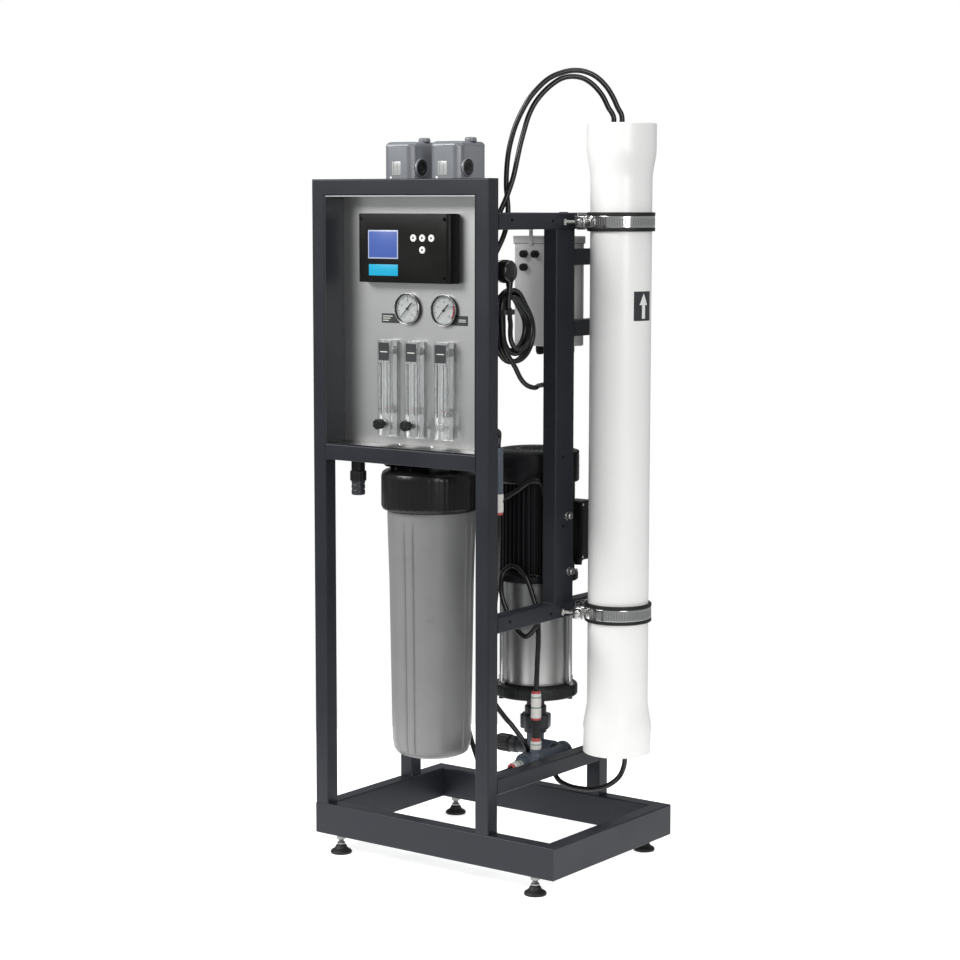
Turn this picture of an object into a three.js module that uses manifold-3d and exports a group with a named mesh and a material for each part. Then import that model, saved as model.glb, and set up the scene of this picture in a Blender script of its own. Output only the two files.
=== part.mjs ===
// Skid-mounted reverse osmosis unit: a welded square-tube frame that carries a control tray, a 20-inch
// prefilter housing, a vertical multistage pump and one upright membrane vessel.
// Millimetres, +Z up, +X to the right and -Y to the front. Origin on the floor, under the middle of the unit.
import * as THREE from "three";
import { mergeVertices } from "three/addons/utils/BufferGeometryUtils.js";
import Module from "manifold-3d";

const wasm = await Module();
wasm.setup();

// ---------- driving dimensions (x from the left face, y from the front face, z from the base underside) ----------
const BASE_W = 555, BASE_D = 393, RAIL_H = 60, TUBE = 30, WALL = 2;
const FOOT_H = 35; // base underside above the floor
const FRAME_TOP = 1245, FRONT_W = 410; // front frame: outer height and width
const MID_Z = 723; // underside of the middle front beam
const GAP = 0.3; // hairline left between touching pieces
const SIDE_X0 = 380, SIDE_X1 = 410; // the right side frame's plane
const TOPBAR_Z = 1154, LOWBAR_Z = 428, LOWBEAM_Z = 129;
const TRAY_BACK = 56, TRAY_T = 1.7; // control tray: depth from the front, sheet thickness
const VESSEL = { x: 489, y: 304, r: 57, flare: 64, z0: 171, z1: 1347 };
const FILTER = { x: 205, y: 99, cap: 94.5, top: 83, low: 74.5 };
const PUMP = { x: 299, y: 306 };
const HOSE_R = 4.8, CABLE_R = 4.5;
const GAUGE_R = 29.5;

const steelPaint = new THREE.MeshStandardMaterial({ color: 0x3b3e45, roughness: 0.5, metalness: 0.2 });
const stainless = new THREE.MeshStandardMaterial({ color: 0xb9b9b6, roughness: 0.3, metalness: 1 });
const blackPlastic = new THREE.MeshStandardMaterial({ color: 0x1b1b1c, roughness: 0.45 });
const greyPlastic = new THREE.MeshStandardMaterial({ color: 0x868686, roughness: 0.5 });
const paleGrey = new THREE.MeshStandardMaterial({ color: 0xb4b4b2, roughness: 0.5 });
const white = new THREE.MeshStandardMaterial({ color: 0xe9e8e2, roughness: 0.35 });
const acrylic = new THREE.MeshStandardMaterial({ color: 0xe8eef0, roughness: 0.05, transparent: true, opacity: 0.5 });
const switchGrey = new THREE.MeshStandardMaterial({ color: 0x85888f, roughness: 0.5 });
const pipeGrey = new THREE.MeshStandardMaterial({ color: 0x4c545c, roughness: 0.5 });
const red = new THREE.MeshStandardMaterial({ color: 0xb33a34, roughness: 0.4 });

const unit = new THREE.Group();
unit.position.set(-BASE_W / 2, -BASE_D / 2, FOOT_H);

// ---------- helpers ----------
function clean(geometry) {
  const g = geometry.clone();
  g.deleteAttribute("normal");
  g.deleteAttribute("uv");
  return mergeVertices(g, 1e-4);
}
function solid(geometry) {
  const g = clean(geometry);
  return new wasm.Manifold(
    new wasm.Mesh({
      numProp: 3,
      vertProperties: new Float32Array(g.attributes.position.array),
      triVerts: new Uint32Array(g.index.array),
    }),
  );
}
function geometryOf(manifold) {
  const m = manifold.getMesh(), v = new Float32Array(m.numVert * 3);
  for (let i = 0; i < m.numVert; i++)
    v.set(m.vertProperties.subarray(i * m.numProp, i * m.numProp + 3), i * 3);
  return new THREE.BufferGeometry()
    .setAttribute("position", new THREE.BufferAttribute(v, 3))
    .setIndex(new THREE.BufferAttribute(new Uint32Array(m.triVerts), 1));
}
const join = (...gs) => geometryOf(gs.map(solid).reduce((a, b) => a.add(b)));
const cut = (g, ...tools) => geometryOf(tools.map(solid).reduce((a, b) => a.subtract(b), solid(g)));

function box(x0, x1, y0, y1, z0, z1) {
  return new THREE.BoxGeometry(x1 - x0, y1 - y0, z1 - z0).translate((x0 + x1) / 2, (y0 + y1) / 2, (z0 + z1) / 2);
}
// A cylinder or cone from a to b, with its start radius and end radius.
function rod(a, b, r0, r1 = r0, seg = 20, turn = 0) {
  const va = new THREE.Vector3(...a), vb = new THREE.Vector3(...b);
  const d = vb.clone().sub(va), g = new THREE.CylinderGeometry(r1, r0, d.length(), seg);
  g.rotateY(turn);
  g.applyQuaternion(new THREE.Quaternion().setFromUnitVectors(new THREE.Vector3(0, 1, 0), d.clone().normalize()));
  return g.translate(...va.add(vb).multiplyScalar(0.5).toArray());
}
// A body of revolution about a vertical axis: profile as [radius, z] pairs, from the axis to the axis or closed.
function turned(profile, seg = 40) {
  const pts = profile.map(([r, z]) => new THREE.Vector2(r, z));
  const closed = profile[0][0] > 0;
  if (closed) pts.push(pts[0].clone());
  let g = new THREE.LatheGeometry(pts, seg).rotateX(Math.PI / 2);
  if (signedVolume(g) < 0) g = flipped(g);
  return g;
}
function signedVolume(g) {
  const h = g.index ? g.toNonIndexed() : g, p = h.attributes.position.array;
  let v = 0;
  for (let i = 0; i < p.length; i += 9)
    v += p[i] * (p[i + 4] * p[i + 8] - p[i + 5] * p[i + 7]) - p[i + 1] * (p[i + 3] * p[i + 8] - p[i + 5] * p[i + 6]) + p[i + 2] * (p[i + 3] * p[i + 7] - p[i + 4] * p[i + 6]);
  return v / 6;
}
function flipped(g) {
  const ix = g.index.array;
  for (let i = 0; i < ix.length; i += 3) [ix[i + 1], ix[i + 2]] = [ix[i + 2], ix[i + 1]];
  return g;
}
// A hollow rectangular tube. section: [a0,a1,b0,b1]; at(s,a,b) gives the point; start(a,b) and end(a,b) give its ends.
function hollow(section, at, start, end, t = WALL) {
  const [a0, a1, b0, b1] = section;
  const ring = (k) => [[a0 + k, b0 + k], [a1 - k, b0 + k], [a1 - k, b1 - k], [a0 + k, b1 - k]];
  const out = ring(0), inn = ring(t), P = [];
  for (const [a, b] of out) P.push(at(start(a, b), a, b));
  for (const [a, b] of out) P.push(at(end(a, b), a, b));
  for (const [a, b] of inn) P.push(at(start(a, b), a, b));
  for (const [a, b] of inn) P.push(at(end(a, b), a, b));
  const ix = [];
  const quad = (a, b, c, d) => ix.push(a, b, c, a, c, d);
  for (let i = 0; i < 4; i++) {
    const j = (i + 1) % 4;
    quad(i, j, 4 + j, 4 + i);
    quad(8 + j, 8 + i, 12 + i, 12 + j);
    quad(j, i, 8 + i, 8 + j);
    quad(4 + i, 4 + j, 12 + j, 12 + i);
  }
  let g = new THREE.BufferGeometry()
    .setAttribute("position", new THREE.BufferAttribute(new Float32Array(P.flat()), 3))
    .setIndex(ix);
  if (signedVolume(g) < 0) g = flipped(g);
  return g;
}
// A round tube or hose along a smooth curve through the points.
function along(points, r, steps, sides = 8) {
  const curve = new THREE.CatmullRomCurve3(points.map((p) => new THREE.Vector3(...p)), false, "centripetal");
  const shape = new THREE.Shape();
  for (let i = 0; i < sides; i++) {
    const a = (2 * Math.PI * i) / sides;
    i ? shape.lineTo(r * Math.cos(a), r * Math.sin(a)) : shape.moveTo(r, 0);
  }
  shape.closePath();
  return new THREE.ExtrudeGeometry(shape, { steps, bevelEnabled: false, extrudePath: curve });
}
function add(name, geometry, material, position = [0, 0, 0], group = unit) {
  const mesh = new THREE.Mesh(geometry, material);
  mesh.name = name;
  mesh.position.set(...position);
  group.add(mesh);
  return mesh;
}
const half = GAP / 2;

// ---------- base ring: four mitred 60 x 30 rails, lying on edge ----------
const base = new THREE.Group();
unit.add(base);
const sec = [0, TUBE, 0, RAIL_H];
add("base_rail_front", hollow(sec, (s, a, b) => [s, a, b], (a) => a + half, (a) => BASE_W - a - half), steelPaint, [0, 0, 0], base);
add("base_rail_rear", hollow(sec, (s, a, b) => [s, -a, b], (a) => a + half, (a) => BASE_W - a - half), steelPaint, [0, BASE_D, 0], base);
add("base_rail_left", hollow(sec, (s, a, b) => [a, s, b], (a) => a + half, (a) => BASE_D - a - half), steelPaint, [0, 0, 0], base);
add("base_rail_right", hollow(sec, (s, a, b) => [-a, s, b], (a) => a + half, (a) => BASE_D - a - half), steelPaint, [BASE_W, 0, 0], base);

// ---------- levelling feet: rubber pad, cone and stud as one turned piece ----------
const footProfile = [[0, -FOOT_H], [20.5, -FOOT_H], [20.5, -FOOT_H + 5], [9, -FOOT_H + 16], [5, -FOOT_H + 16], [5, -8], [9.5, -8], [9.5, -GAP], [0, -GAP]];
for (const [name, x, y] of [["front_left", 50, 15], ["front_right", 505, 15], ["rear_left", 50, 378], ["rear_right", 505, 378]])
  add("levelling_foot_" + name, turned(footProfile, 16), blackPlastic, [x, y, 0], base);

// ---------- upright frame ----------
const frame = new THREE.Group();
unit.add(frame);
const sq = [0, TUBE, 0, TUBE];
// posts stand on the base; the two front posts meet the top beam in mitres
add("post_front_left", hollow(sq, (s, a, b) => [a, b, s], () => RAIL_H + GAP, (a) => FRAME_TOP - a - half), steelPaint, [0, 0, 0], frame);
add("post_front_right", hollow(sq, (s, a, b) => [-a, b, s], () => RAIL_H + GAP, (a) => FRAME_TOP - a - half), steelPaint, [FRONT_W, 0, 0], frame);
add("beam_top_front", hollow(sq, (s, a, b) => [s, b, -a], (a) => a + half, (a) => FRONT_W - a - half), steelPaint, [0, 0, FRAME_TOP], frame);
add("beam_mid_front", hollow(sq, (s, a, b) => [s, a, b], () => TUBE + GAP, () => FRONT_W - TUBE - GAP), steelPaint, [0, 0, MID_Z], frame);
// right side frame
add("bar_top_right", hollow(sq, (s, a, b) => [b, s, -a], () => TUBE + GAP, (a) => BASE_D - a - half), steelPaint, [SIDE_X0, 0, TOPBAR_Z + TUBE], frame);
add("post_rear_right", hollow(sq, (s, a, b) => [b, -a, s], () => RAIL_H + GAP, (a) => TOPBAR_Z + TUBE - a - half), steelPaint, [SIDE_X0, BASE_D, 0], frame);
const sideBar = (y0, y1) => hollow(sq, (s, a, b) => [a, s, b], () => y0, () => y1);
add("bar_lower_right", sideBar(TUBE + GAP, BASE_D - TUBE - GAP), steelPaint, [SIDE_X0, 0, LOWBAR_Z], frame);
add("beam_low_right", sideBar(TUBE + GAP, BASE_D - TUBE - GAP), steelPaint, [SIDE_X0, 0, LOWBEAM_Z], frame);
add("post_mid_right", hollow([0, TUBE, 0, 60], (s, a, b) => [a, b, s], () => LOWBAR_Z + TUBE + GAP, () => TOPBAR_Z - GAP), steelPaint, [SIDE_X0, 210, 0], frame);
add("rung_upper", sideBar(270 + GAP, BASE_D - TUBE - GAP), steelPaint, [SIDE_X0, 0, 1087], frame);
add("rung_lower", sideBar(270 + GAP, BASE_D - TUBE - GAP), steelPaint, [SIDE_X0, 0, 955], frame);
// rear left post and the cross beam that ties it to the right side
add("post_rear_left", hollow(sq, (s, a, b) => [a, b, s], () => RAIL_H + GAP, (a) => TOPBAR_Z + TUBE - a - half), steelPaint, [0, 260, 0], frame);
add("beam_cross_top", hollow(sq, (s, a, b) => [s, b, -a], (a) => a + half, () => SIDE_X0 - GAP), steelPaint, [0, 260, TOPBAR_Z + TUBE], frame);

// ---------- control tray: one folded sheet that closes the upper front opening ----------
const controls = new THREE.Group();
unit.add(controls);
add("instrument_panel",
  cut(box(TUBE + GAP, FRONT_W - TUBE - GAP, 1, TRAY_BACK, MID_Z + TUBE + GAP, FRAME_TOP - TUBE - GAP),
    box(TUBE + GAP + TRAY_T, FRONT_W - TUBE - GAP - TRAY_T, 0, TRAY_BACK - 2, MID_Z + TUBE + GAP + TRAY_T, FRAME_TOP - TUBE - GAP - TRAY_T)),
  stainless, [0, 0, 0], controls);
const FACE = TRAY_BACK - 2; // front surface of the tray's back

// controller: black housing with four round keys in blind pockets
const CTRL = { x0: 87.5, x1: 303.5, y0: 26, z0: 1056, z1: 1182 };
const keys = [[220.7, 1138], [241.4, 1138], [262.1, 1138], [241.4, 1116.6]];
add("controller_housing",
  cut(box(CTRL.x0, CTRL.x1, CTRL.y0, FACE - GAP, CTRL.z0, CTRL.z1),
    ...keys.map(([x, z]) => rod([x, CTRL.y0 - 5, z], [x, CTRL.y0 + 7, z], 7, 7, 20))),
  blackPlastic, [0, 0, 0], controls);
keys.forEach(([x, z], i) =>
  add("controller_key_" + (i + 1), rod([0, -1.8, 0], [0, 4.5, 0], 6.6, 6.6, 20), white, [x, CTRL.y0, z], controls));

// pressure gauges: open cups with a needle on a centre spindle
for (const [i, x, z] of [[1, 186.7, 1008], [2, 271.5, 1007]]) {
  add("gauge_" + i + "_case",
    cut(rod([0, -7.5, 0], [0, -GAP, 0], GAUGE_R, GAUGE_R, 36), rod([0, -8.5, 0], [0, -2.5, 0], 27, 27, 36)),
    blackPlastic, [x, FACE, z], controls);
  add("gauge_" + i + "_needle",
    join(rod([0, -6.4, 0], [0, -2.9, 0], 2.6, 2.6, 12), box(-0.9, 0.9, -5.6, -4.6, -14, 21).rotateY(-0.75 * Math.PI)),
    red, [x, FACE, z], controls);
}

// rotameters: clear blocks with a vertical bore, two rear ports and a float; two have a needle-valve knob
const ROTA = { w: 31.5, d: 22, z0: 771, z1: 950 };
for (const [i, x, knob] of [[1, 146.2, true], [2, 210, true], [3, 278, false]]) {
  const top = ROTA.z1 - ROTA.z0;
  add("rotameter_" + i + "_body",
    cut(box(-ROTA.w / 2, ROTA.w / 2, -ROTA.d, -GAP, 0, top),
      rod([0, -12, 44], [0, -12, top - 14], 6.5, 6.5, 16),
      rod([0, -12, 50], [0, 5, 50], 4, 4, 12),
      rod([0, -12, top - 20], [0, 5, top - 20], 4, 4, 12)),
    acrylic, [x, FACE, ROTA.z0], controls);
  add("rotameter_" + i + "_float", turned([[0, 0], [2, 0], [5.4, 7], [5.4, 11], [3, 14], [0, 14]], 16), red, [x, FACE - 12, ROTA.z0 + 44 + GAP], controls);
  if (knob)
    add("rotameter_" + i + "_knob",
      join(rod([0, -23, 0], [0, -10, 0], 9, 10.2, 20), rod([0, -10.5, 0], [0, -GAP, 0], 5, 5, 16)),
      blackPlastic, [x, FACE - ROTA.d, 795], controls);
}

// ---------- pressure switches behind the top beam ----------
for (const [i, x] of [[1, 143.5], [2, 249.5]]) {
  const w = 72, d = 88, h = 94, c = 11;
  const outline = new THREE.Shape([[c, 0], [w - c, 0], [w, c], [w, d - c], [w - c, d], [c, d], [0, d - c], [0, c]].map(([a, b]) => new THREE.Vector2(a, b)));
  add("pressure_switch_" + i,
    join(new THREE.ExtrudeGeometry(outline, { depth: h, bevelEnabled: false }),
      rod([60, 50, h - 1], [60, 50, h + 8], 11, 11, 16),
      rod([w - 1, 23, 47], [w + 4, 23, 47], 17, 16, 20),
      rod([38, 46, -34], [38, 46, 1], 8, 8, 16)),
    switchGrey, [x, 31, 1218]);
}

// ---------- prefilter: head with its inlet and outlet pipes, screw-on sump, cartridge ----------
const filter = new THREE.Group();
filter.position.set(FILTER.x, FILTER.y, 0);
unit.add(filter);
add("filter_head",
  join(turned([[0, 700], [81, 700], [81, 634], [92.5, 634], [94.5, 640], [94.5, 698], [91, 706], [74, 712], [66, 721], [66, 738], [0, 738]], 36),
    rod([-40, -54, 727], [-133, -54, 727], 9, 9, 16),
    rod([-133, -54, 736], [-133, -54, 700], 13, 13, 16),
    rod([-133, -54, 701], [-133, -54, 682], 15.5, 15.5, 16),
    rod([-133, -54, 683], [-133, -54, 655], 13, 13, 16),
    rod([-15, 50, 713], [-15, 125, 713], 8, 8, 16)),
  blackPlastic, [0, 0, 0], filter);
const sumpProfile = [[0, 166], [52, 166], [66, 171], [73, 182], [74.5, 198], [79.5, 500], [FILTER.top, 618], [FILTER.top, 632], [79.5, 632], [79.5, 698], [72, 698], [70, 500], [66, 196], [58, 174], [0, 174]];
add("filter_sump", turned(sumpProfile, 32), greyPlastic, [0, 0, 0], filter);
add("filter_cartridge", turned([[15, 178], [56, 178], [56, 690], [15, 690]], 24), white, [0, 0, 0], filter);

// ---------- membrane vessel, its element, end plugs and clamps ----------
const membrane = new THREE.Group();
membrane.position.set(VESSEL.x, VESSEL.y, 0);
unit.add(membrane);
const { r: vr, flare: vf, z0: vz0, z1: vz1 } = VESSEL;
add("membrane_vessel",
  turned([[51, vz0], [vf, vz0], [vf, vz0 + 50], [vr, vz0 + 100], [vr, vz1 - 100], [vf, vz1 - 50], [vf, vz1], [51, vz1]], 40),
  white, [0, 0, 0], membrane);
add("membrane_element", turned([[9, 214], [49.5, 214], [49.5, 1300], [9, 1300]], 24), white, [0, 0, 0], membrane);
add("end_plug_top",
  join(rod([0, 0, vz1 - 34], [0, 0, vz1 - 6], 50.5, 50.5, 32), rod([0, 0, vz1 - 7], [0, 0, vz1 - 1.5], 8, 8, 16), rod([-18, 0, vz1 - 7], [-18, 0, vz1 - 1.5], 8, 8, 16)),
  blackPlastic, [0, 0, 0], membrane);
add("end_plug_bottom",
  join(rod([0, 0, vz0 + 6], [0, 0, vz0 + 34], 50.5, 50.5, 32), rod([18, 0, vz0 - 5], [18, 0, vz0 + 7], 8, 8, 16)),
  blackPlastic, [0, 0, 0], membrane);
for (const [name, z] of [["upper", TOPBAR_Z + 13.5], ["lower", LOWBAR_Z + 12]])
  add("vessel_clamp_" + name,
    join(turned([[vr + GAP, -17.5], [vr + 6, -17.5], [vr + 6, 17.5], [vr + GAP, 17.5]], 36),
      box(-(VESSEL.x - SIDE_X1) + GAP, -(VESSEL.x - SIDE_X1) + 5, -30, 30, -15, 15),
      box(-(VESSEL.x - SIDE_X1) + 2, -vr - 2, -12, 12, -14, 14),
      box(-58, -36, -68, -50, -11, 11)),
    stainless, [0, 0, z], membrane);

// ---------- vertical multistage pump ----------
const pump = new THREE.Group();
pump.position.set(PUMP.x, PUMP.y, 0);
unit.add(pump);
add("pump_motor",
  join(turned([[9.5, 484.5], [81, 484.5], [81, 498], [74, 502], [74, 672], [82, 676], [82, 728], [74, 736], [34, 736], [34, 733], [70, 733], [70, 680], [45, 676], [45, 500], [9.5, 500]], 32),
    box(60, 104, 0, 46, 528, 640),
    box(60, 81 - GAP, -62, -10, 500, 520),
    box(60, 81 - GAP, -62, -10, 608, 630)),
  blackPlastic, [0, 0, 0], pump);
const wheel = (z) => [[9, z], [52, z], [52, z + 10], [9, z + 10]];
add("pump_rotor",
  turned([[0, 296], [9, 296], ...[312, 348, 384, 420, 456].flatMap(wheel), [9, 530], [42, 530], [42, 660], [9, 660], [9, 690], [64, 690], [64, 712], [9, 712], [9, 722], [0, 722]], 16),
  stainless, [0, 0, 0], pump);
const ties = [10, 60, 190, 240].map((d) => [72.5 * Math.cos((d * Math.PI) / 180), 72.5 * Math.sin((d * Math.PI) / 180)]);
add("pump_body",
  join(turned([[0, 258], [78, 258], [81, 261], [81, 278], [78, 281], [64, 281], [64, 484], [61, 484], [61, 290], [0, 290]], 32),
    ...ties.map(([x, y]) => rod([x, y, 270], [x, y, 484], 4, 4, 10))),
  stainless, [0, 0, 0], pump);

// ---------- electrical box ----------
add("electrical_box",
  join(box(254, 371, 290, 362, 932, 1140),
    rod([292, 326, 912], [292, 326, 934], 9, 9, 14), rod([352, 340, 914], [352, 340, 934], 9, 9, 14),
    rod([281, 291, 1106], [281, 280, 1106], 8, 8, 14), rod([307, 291, 1106], [307, 280, 1106], 8, 8, 14), rod([281, 291, 1081], [281, 280, 1081], 8, 8, 14)),
  paleGrey);

// ---------- pump pipework with its fittings and short hoses ----------
const hoseB = [[340, 172, 141], [334, 158, 137], [318, 150, 131], [296, 151, 129], [270, 165, 136], [249, 182, 149], [227, 198, 168], [204, 212, 205], [193, 216, 260], [190, 216, 400], [190, 216, 560], [190, 216, 660], [190, 216, 704.6]];
const hoseC = [[358, 224, 270], [360, 224, 330], [362, 225, 390], [359, 225, 430], [349, 224, 466], [330, 223, 504], [304, 222, 519], [282, 221, 502], [279, 220, 465], [294, 219, 428], [316, 217, 399], [340, 213, 388], [359, 213, 402], [369, 226, 440], [372, 233, 500], [372, 234, 600], [371, 232, 654], [363, 227, 682], [346, 221, 682], [318, 212, 662], [293, 200, 647], [275, 192, 652], [266, 187, 676], [263, 184, 702], [259, 168, 738], [256, 140, 786], [254, 110, 850], [254, 94, 930], [254, 84, 985], [262, 74, 1003], [272, 66, 1006], [274, 58, 1006]];
const hoseD = [[330, 246, 150], [323, 236, 176], [305, 228, 203], [288, 216, 228], [280, 192, 262], [288, 162, 310], [312, 132, 370], [345, 104, 440], [374, 76, 520], [391, 56, 590], [395, 50, 630], [395, 50, 650]];
const hoseF = [[395, 50, 758], [395, 50, 772], [393.5, 54, 784], [386, 62, 791], [368, 66, 793], [330, 68, 793], [300, 71, 794], [284, 74, 799], [278.5, 76, 809], [278, 74.5, 818], [278, 68, 821], [278, 58, 821]];
const hoseE = [[342, 304, 138], [344, 304, 112], [356, 304, 95], [378, 304, 87.5], [403, 304, 86], [438, 304, 89.5], [472, 304, 103], [496, 304, 124], [505.5, 304, 145], [507, 304, 156], [507, 304, VESSEL.z0 - 5.6]];
add("pump_pipework",
  join(rod([299, 306, 150], [299, 306, 257.7], 17, 17, 20),
    rod([299, 306, 190], [299, 306, 219], 30, 30, 8, Math.PI / 8),
    rod([299, 306, 222], [299, 306, 234], 21, 21, 20),
    rod([299, 306, 150], [345, 306, 150], 20, 20, 20),
    rod([340, 210, 142], [340, 346, 142], 19, 19, 20),
    rod([340, 196, 142], [340, 214, 142], 14, 14, 16),
    rod([340, 170, 141], [340, 200, 142], 10.5, 10.5, 16),
    rod([345, 302, 152], [212, 302, 152], 14, 14, 16),
    rod([214, 302, 152], [246, 302, 152], 17.5, 17.5, 16),
    rod([356, 224, 140], [358, 224, 198], 10.5, 10.5, 16),
    rod([358, 224, 196], [358, 224, 232], HOSE_R, HOSE_R, 8),
    rod([358, 224, 230], [358, 224, 284], 9.8, 9.8, 16),
    along(hoseB, HOSE_R, 27),
    along(hoseC, HOSE_R, 58),
    along(hoseD, HOSE_R, 26),
    rod([395, 50, 642], [395, 50, 680], 9.8, 9.8, 16),
    rod([395, 50, 677], [395, 50, 764], 9.2, 9.2, 16),
    along(hoseF, HOSE_R, 18),
    along(hoseE, HOSE_R, 16)),
  pipeGrey);

// ---------- two permeate hoses that arc over from the vessel's top ----------
const outer = [[489, 304, 1345.9], [489, 304, 1357], [487.4, 302.7, 1365], [483.3, 299.3, 1374], [476.1, 293.3, 1394], [466.3, 285.2, 1413.6], [452.1, 273.4, 1431], [436, 259.6, 1440.5], [420.2, 246, 1442.4], [404.2, 232.4, 1438.4], [386.6, 217.8, 1428.4], [370.9, 204.8, 1410.8], [358.5, 194.6, 1391.7], [347.1, 185.6, 1366.9], [338.1, 179.7, 1343], [331.9, 176.4, 1321], [327.3, 174, 1298.9], [324.1, 173.2, 1276.2], [322.3, 173.2, 1253.5], [321.6, 173.8, 1230.7], [323.1, 175, 1209], [324.3, 175.6, 1188], [322, 170, 1150], [311, 148, 1100], [297, 120, 1040], [286, 95, 985], [280.5, 78, 953], [278.5, 68, 941], [278, 58, 938]];
const inner = [[471, 304, 1345.9], [471, 304, 1357], [468.6, 301.8, 1365.5], [464, 297.6, 1374.6], [455.2, 289.7, 1397.2], [442.2, 278.4, 1417], [427.6, 266, 1429], [412.2, 252.6, 1432], [398.5, 240.4, 1428.5], [384.9, 228, 1417.2], [371.3, 215.7, 1400.1], [361.1, 206.5, 1382], [353.3, 199, 1360], [348.3, 191.9, 1333], [344.1, 185.5, 1305.7], [340.7, 180.4, 1278.5], [336.9, 175, 1250], [332.3, 169.6, 1228], [326.7, 163.8, 1207], [314, 152, 1170], [296, 132, 1120], [264, 108, 1045], [231, 86, 975], [214.5, 73, 946], [210.6, 65.5, 939], [210, 58, 938]];
add("hose_top_outer", along(outer, HOSE_R, 46), blackPlastic);
add("hose_top_inner", along(inner, HOSE_R, 44), blackPlastic);

// ---------- mains lead: stretch to the electrical box, hank and plug ----------
const lead = [[404.5, 97, 895.5], [405, 105, 885.5], [405, 118, 875.5], [403.5, 136, 869], [400, 154, 866], [391, 174, 865], [380, 192, 865], [371, 212, 865], [365, 236, 865], [358, 272, 867], [353, 306, 875], [352, 328, 887], [352, 338, 900], [352, 340, 907], [352, 340, 913.4]];
add("mains_cable", along(lead, CABLE_R, 14), blackPlastic);
// the hank's outline is the belt around two circles [y, z, r]: a wide lower end and a narrower upper end
const LOW = [103, 967, 57], TOP = [86, 1009, 42];
const dist = Math.hypot(TOP[0] - LOW[0], TOP[1] - LOW[1]);
const lean = Math.atan2(TOP[1] - LOW[1], TOP[0] - LOW[0]), open = Math.acos((LOW[2] - TOP[2]) / dist);
const outline = [];
for (let i = 0; i <= 12; i++) {
  const a = lean + open + ((2 * Math.PI - 2 * open) * i) / 12;
  outline.push(new THREE.Vector2(LOW[0] + LOW[2] * Math.cos(a), LOW[1] + LOW[2] * Math.sin(a)));
}
for (let i = 0; i <= 8; i++) {
  const a = lean - open + (2 * open * i) / 8;
  outline.push(new THREE.Vector2(TOP[0] + TOP[2] * Math.cos(a), TOP[1] + TOP[2] * Math.sin(a)));
}
add("cable_hank",
  new THREE.ExtrudeGeometry(new THREE.Shape(outline), { depth: 38, bevelEnabled: false })
    .applyMatrix4(new THREE.Matrix4().makeBasis(new THREE.Vector3(0, 1, 0), new THREE.Vector3(0, 0, 1), new THREE.Vector3(1, 0, 0))).translate(381.5, 0, 0),
  blackPlastic);
add("mains_plug",
  join(rod([388, 60, 1080], [416, 60, 1080], 21, 19, 24), rod([406.5, 60, 1049], [406.5, 60, 1064], 6, 8, 14),
    rod([370, 60, 1070.5], [390, 60, 1070.5], 2.4, 2.4, 10), rod([370, 60, 1089.5], [390, 60, 1089.5], 2.4, 2.4, 10)),
  blackPlastic);

export default unit;
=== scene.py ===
"""Skid-mounted reverse osmosis unit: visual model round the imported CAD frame. All helper input is in millimetres from the
left face (x), the front face (y) and the underside of the base (z); meshes are stored in metres in the row frame."""

import math

import bmesh
import bpy
from mathutils import Matrix, Vector


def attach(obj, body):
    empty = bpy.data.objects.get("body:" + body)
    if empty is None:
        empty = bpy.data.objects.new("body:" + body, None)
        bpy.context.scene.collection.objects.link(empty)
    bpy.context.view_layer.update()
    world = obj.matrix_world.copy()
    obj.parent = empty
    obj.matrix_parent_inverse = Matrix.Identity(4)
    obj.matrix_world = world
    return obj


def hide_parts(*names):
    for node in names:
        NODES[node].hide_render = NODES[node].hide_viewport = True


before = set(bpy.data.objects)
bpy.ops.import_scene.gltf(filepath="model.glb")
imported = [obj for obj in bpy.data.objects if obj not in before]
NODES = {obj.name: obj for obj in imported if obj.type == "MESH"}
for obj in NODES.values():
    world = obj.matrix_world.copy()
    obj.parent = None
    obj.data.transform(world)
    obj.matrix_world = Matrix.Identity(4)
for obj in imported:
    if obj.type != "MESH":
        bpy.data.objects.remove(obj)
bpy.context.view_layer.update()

OX, OY, OZ = 277.5, 196.5, -35.0
TO_ROW = Matrix.Scale(0.001, 4) @ Matrix.Translation(Vector((-OX, -OY, -OZ)))


def W(x, y, z):
    return Vector(((x - OX) / 1000, (y - OY) / 1000, (z - OZ) / 1000))


# ------------------------------------------------------------------ camera
scene = bpy.context.scene
scene.view_settings.view_transform = "Standard"
YAW, PITCH, ROLL = 0.6386451, 0.1178306, 0.0012161
cam = bpy.data.objects.new("camera", bpy.data.cameras.new("camera"))
scene.collection.objects.link(cam)
scene.camera = cam
F = Vector((-math.sin(YAW) * math.cos(PITCH), math.cos(YAW) * math.cos(PITCH), -math.sin(PITCH)))
R0 = F.cross(Vector((0, 0, 1))).normalized()
U0 = R0.cross(F)
RR = R0 * math.cos(ROLL) + U0 * math.sin(ROLL)
UU = -R0 * math.sin(ROLL) + U0 * math.cos(ROLL)
place = W(2843.5, -3303.0, 1196.7)
cam.matrix_world = Matrix((
    (RR.x, UU.x, -F.x, place.x),
    (RR.y, UU.y, -F.y, place.y),
    (RR.z, UU.z, -F.z, place.z),
    (0, 0, 0, 1),
))
cam.data.sensor_width = 36
cam.data.lens = 86.917
cam.data.clip_start, cam.data.clip_end = 0.1, 60


# ------------------------------------------------------------------ materials
def ramp(nt, source, stops):
    r = nt.nodes.new("ShaderNodeValToRGB")
    r.color_ramp.elements[0].position, r.color_ramp.elements[0].color = stops[0]
    r.color_ramp.elements[1].position, r.color_ramp.elements[1].color = stops[-1]
    for p, c in stops[1:-1]:
        e = r.color_ramp.elements.new(p)
        e.color = c
    nt.links.new(source, r.inputs[0])
    return r.outputs[0]


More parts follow.
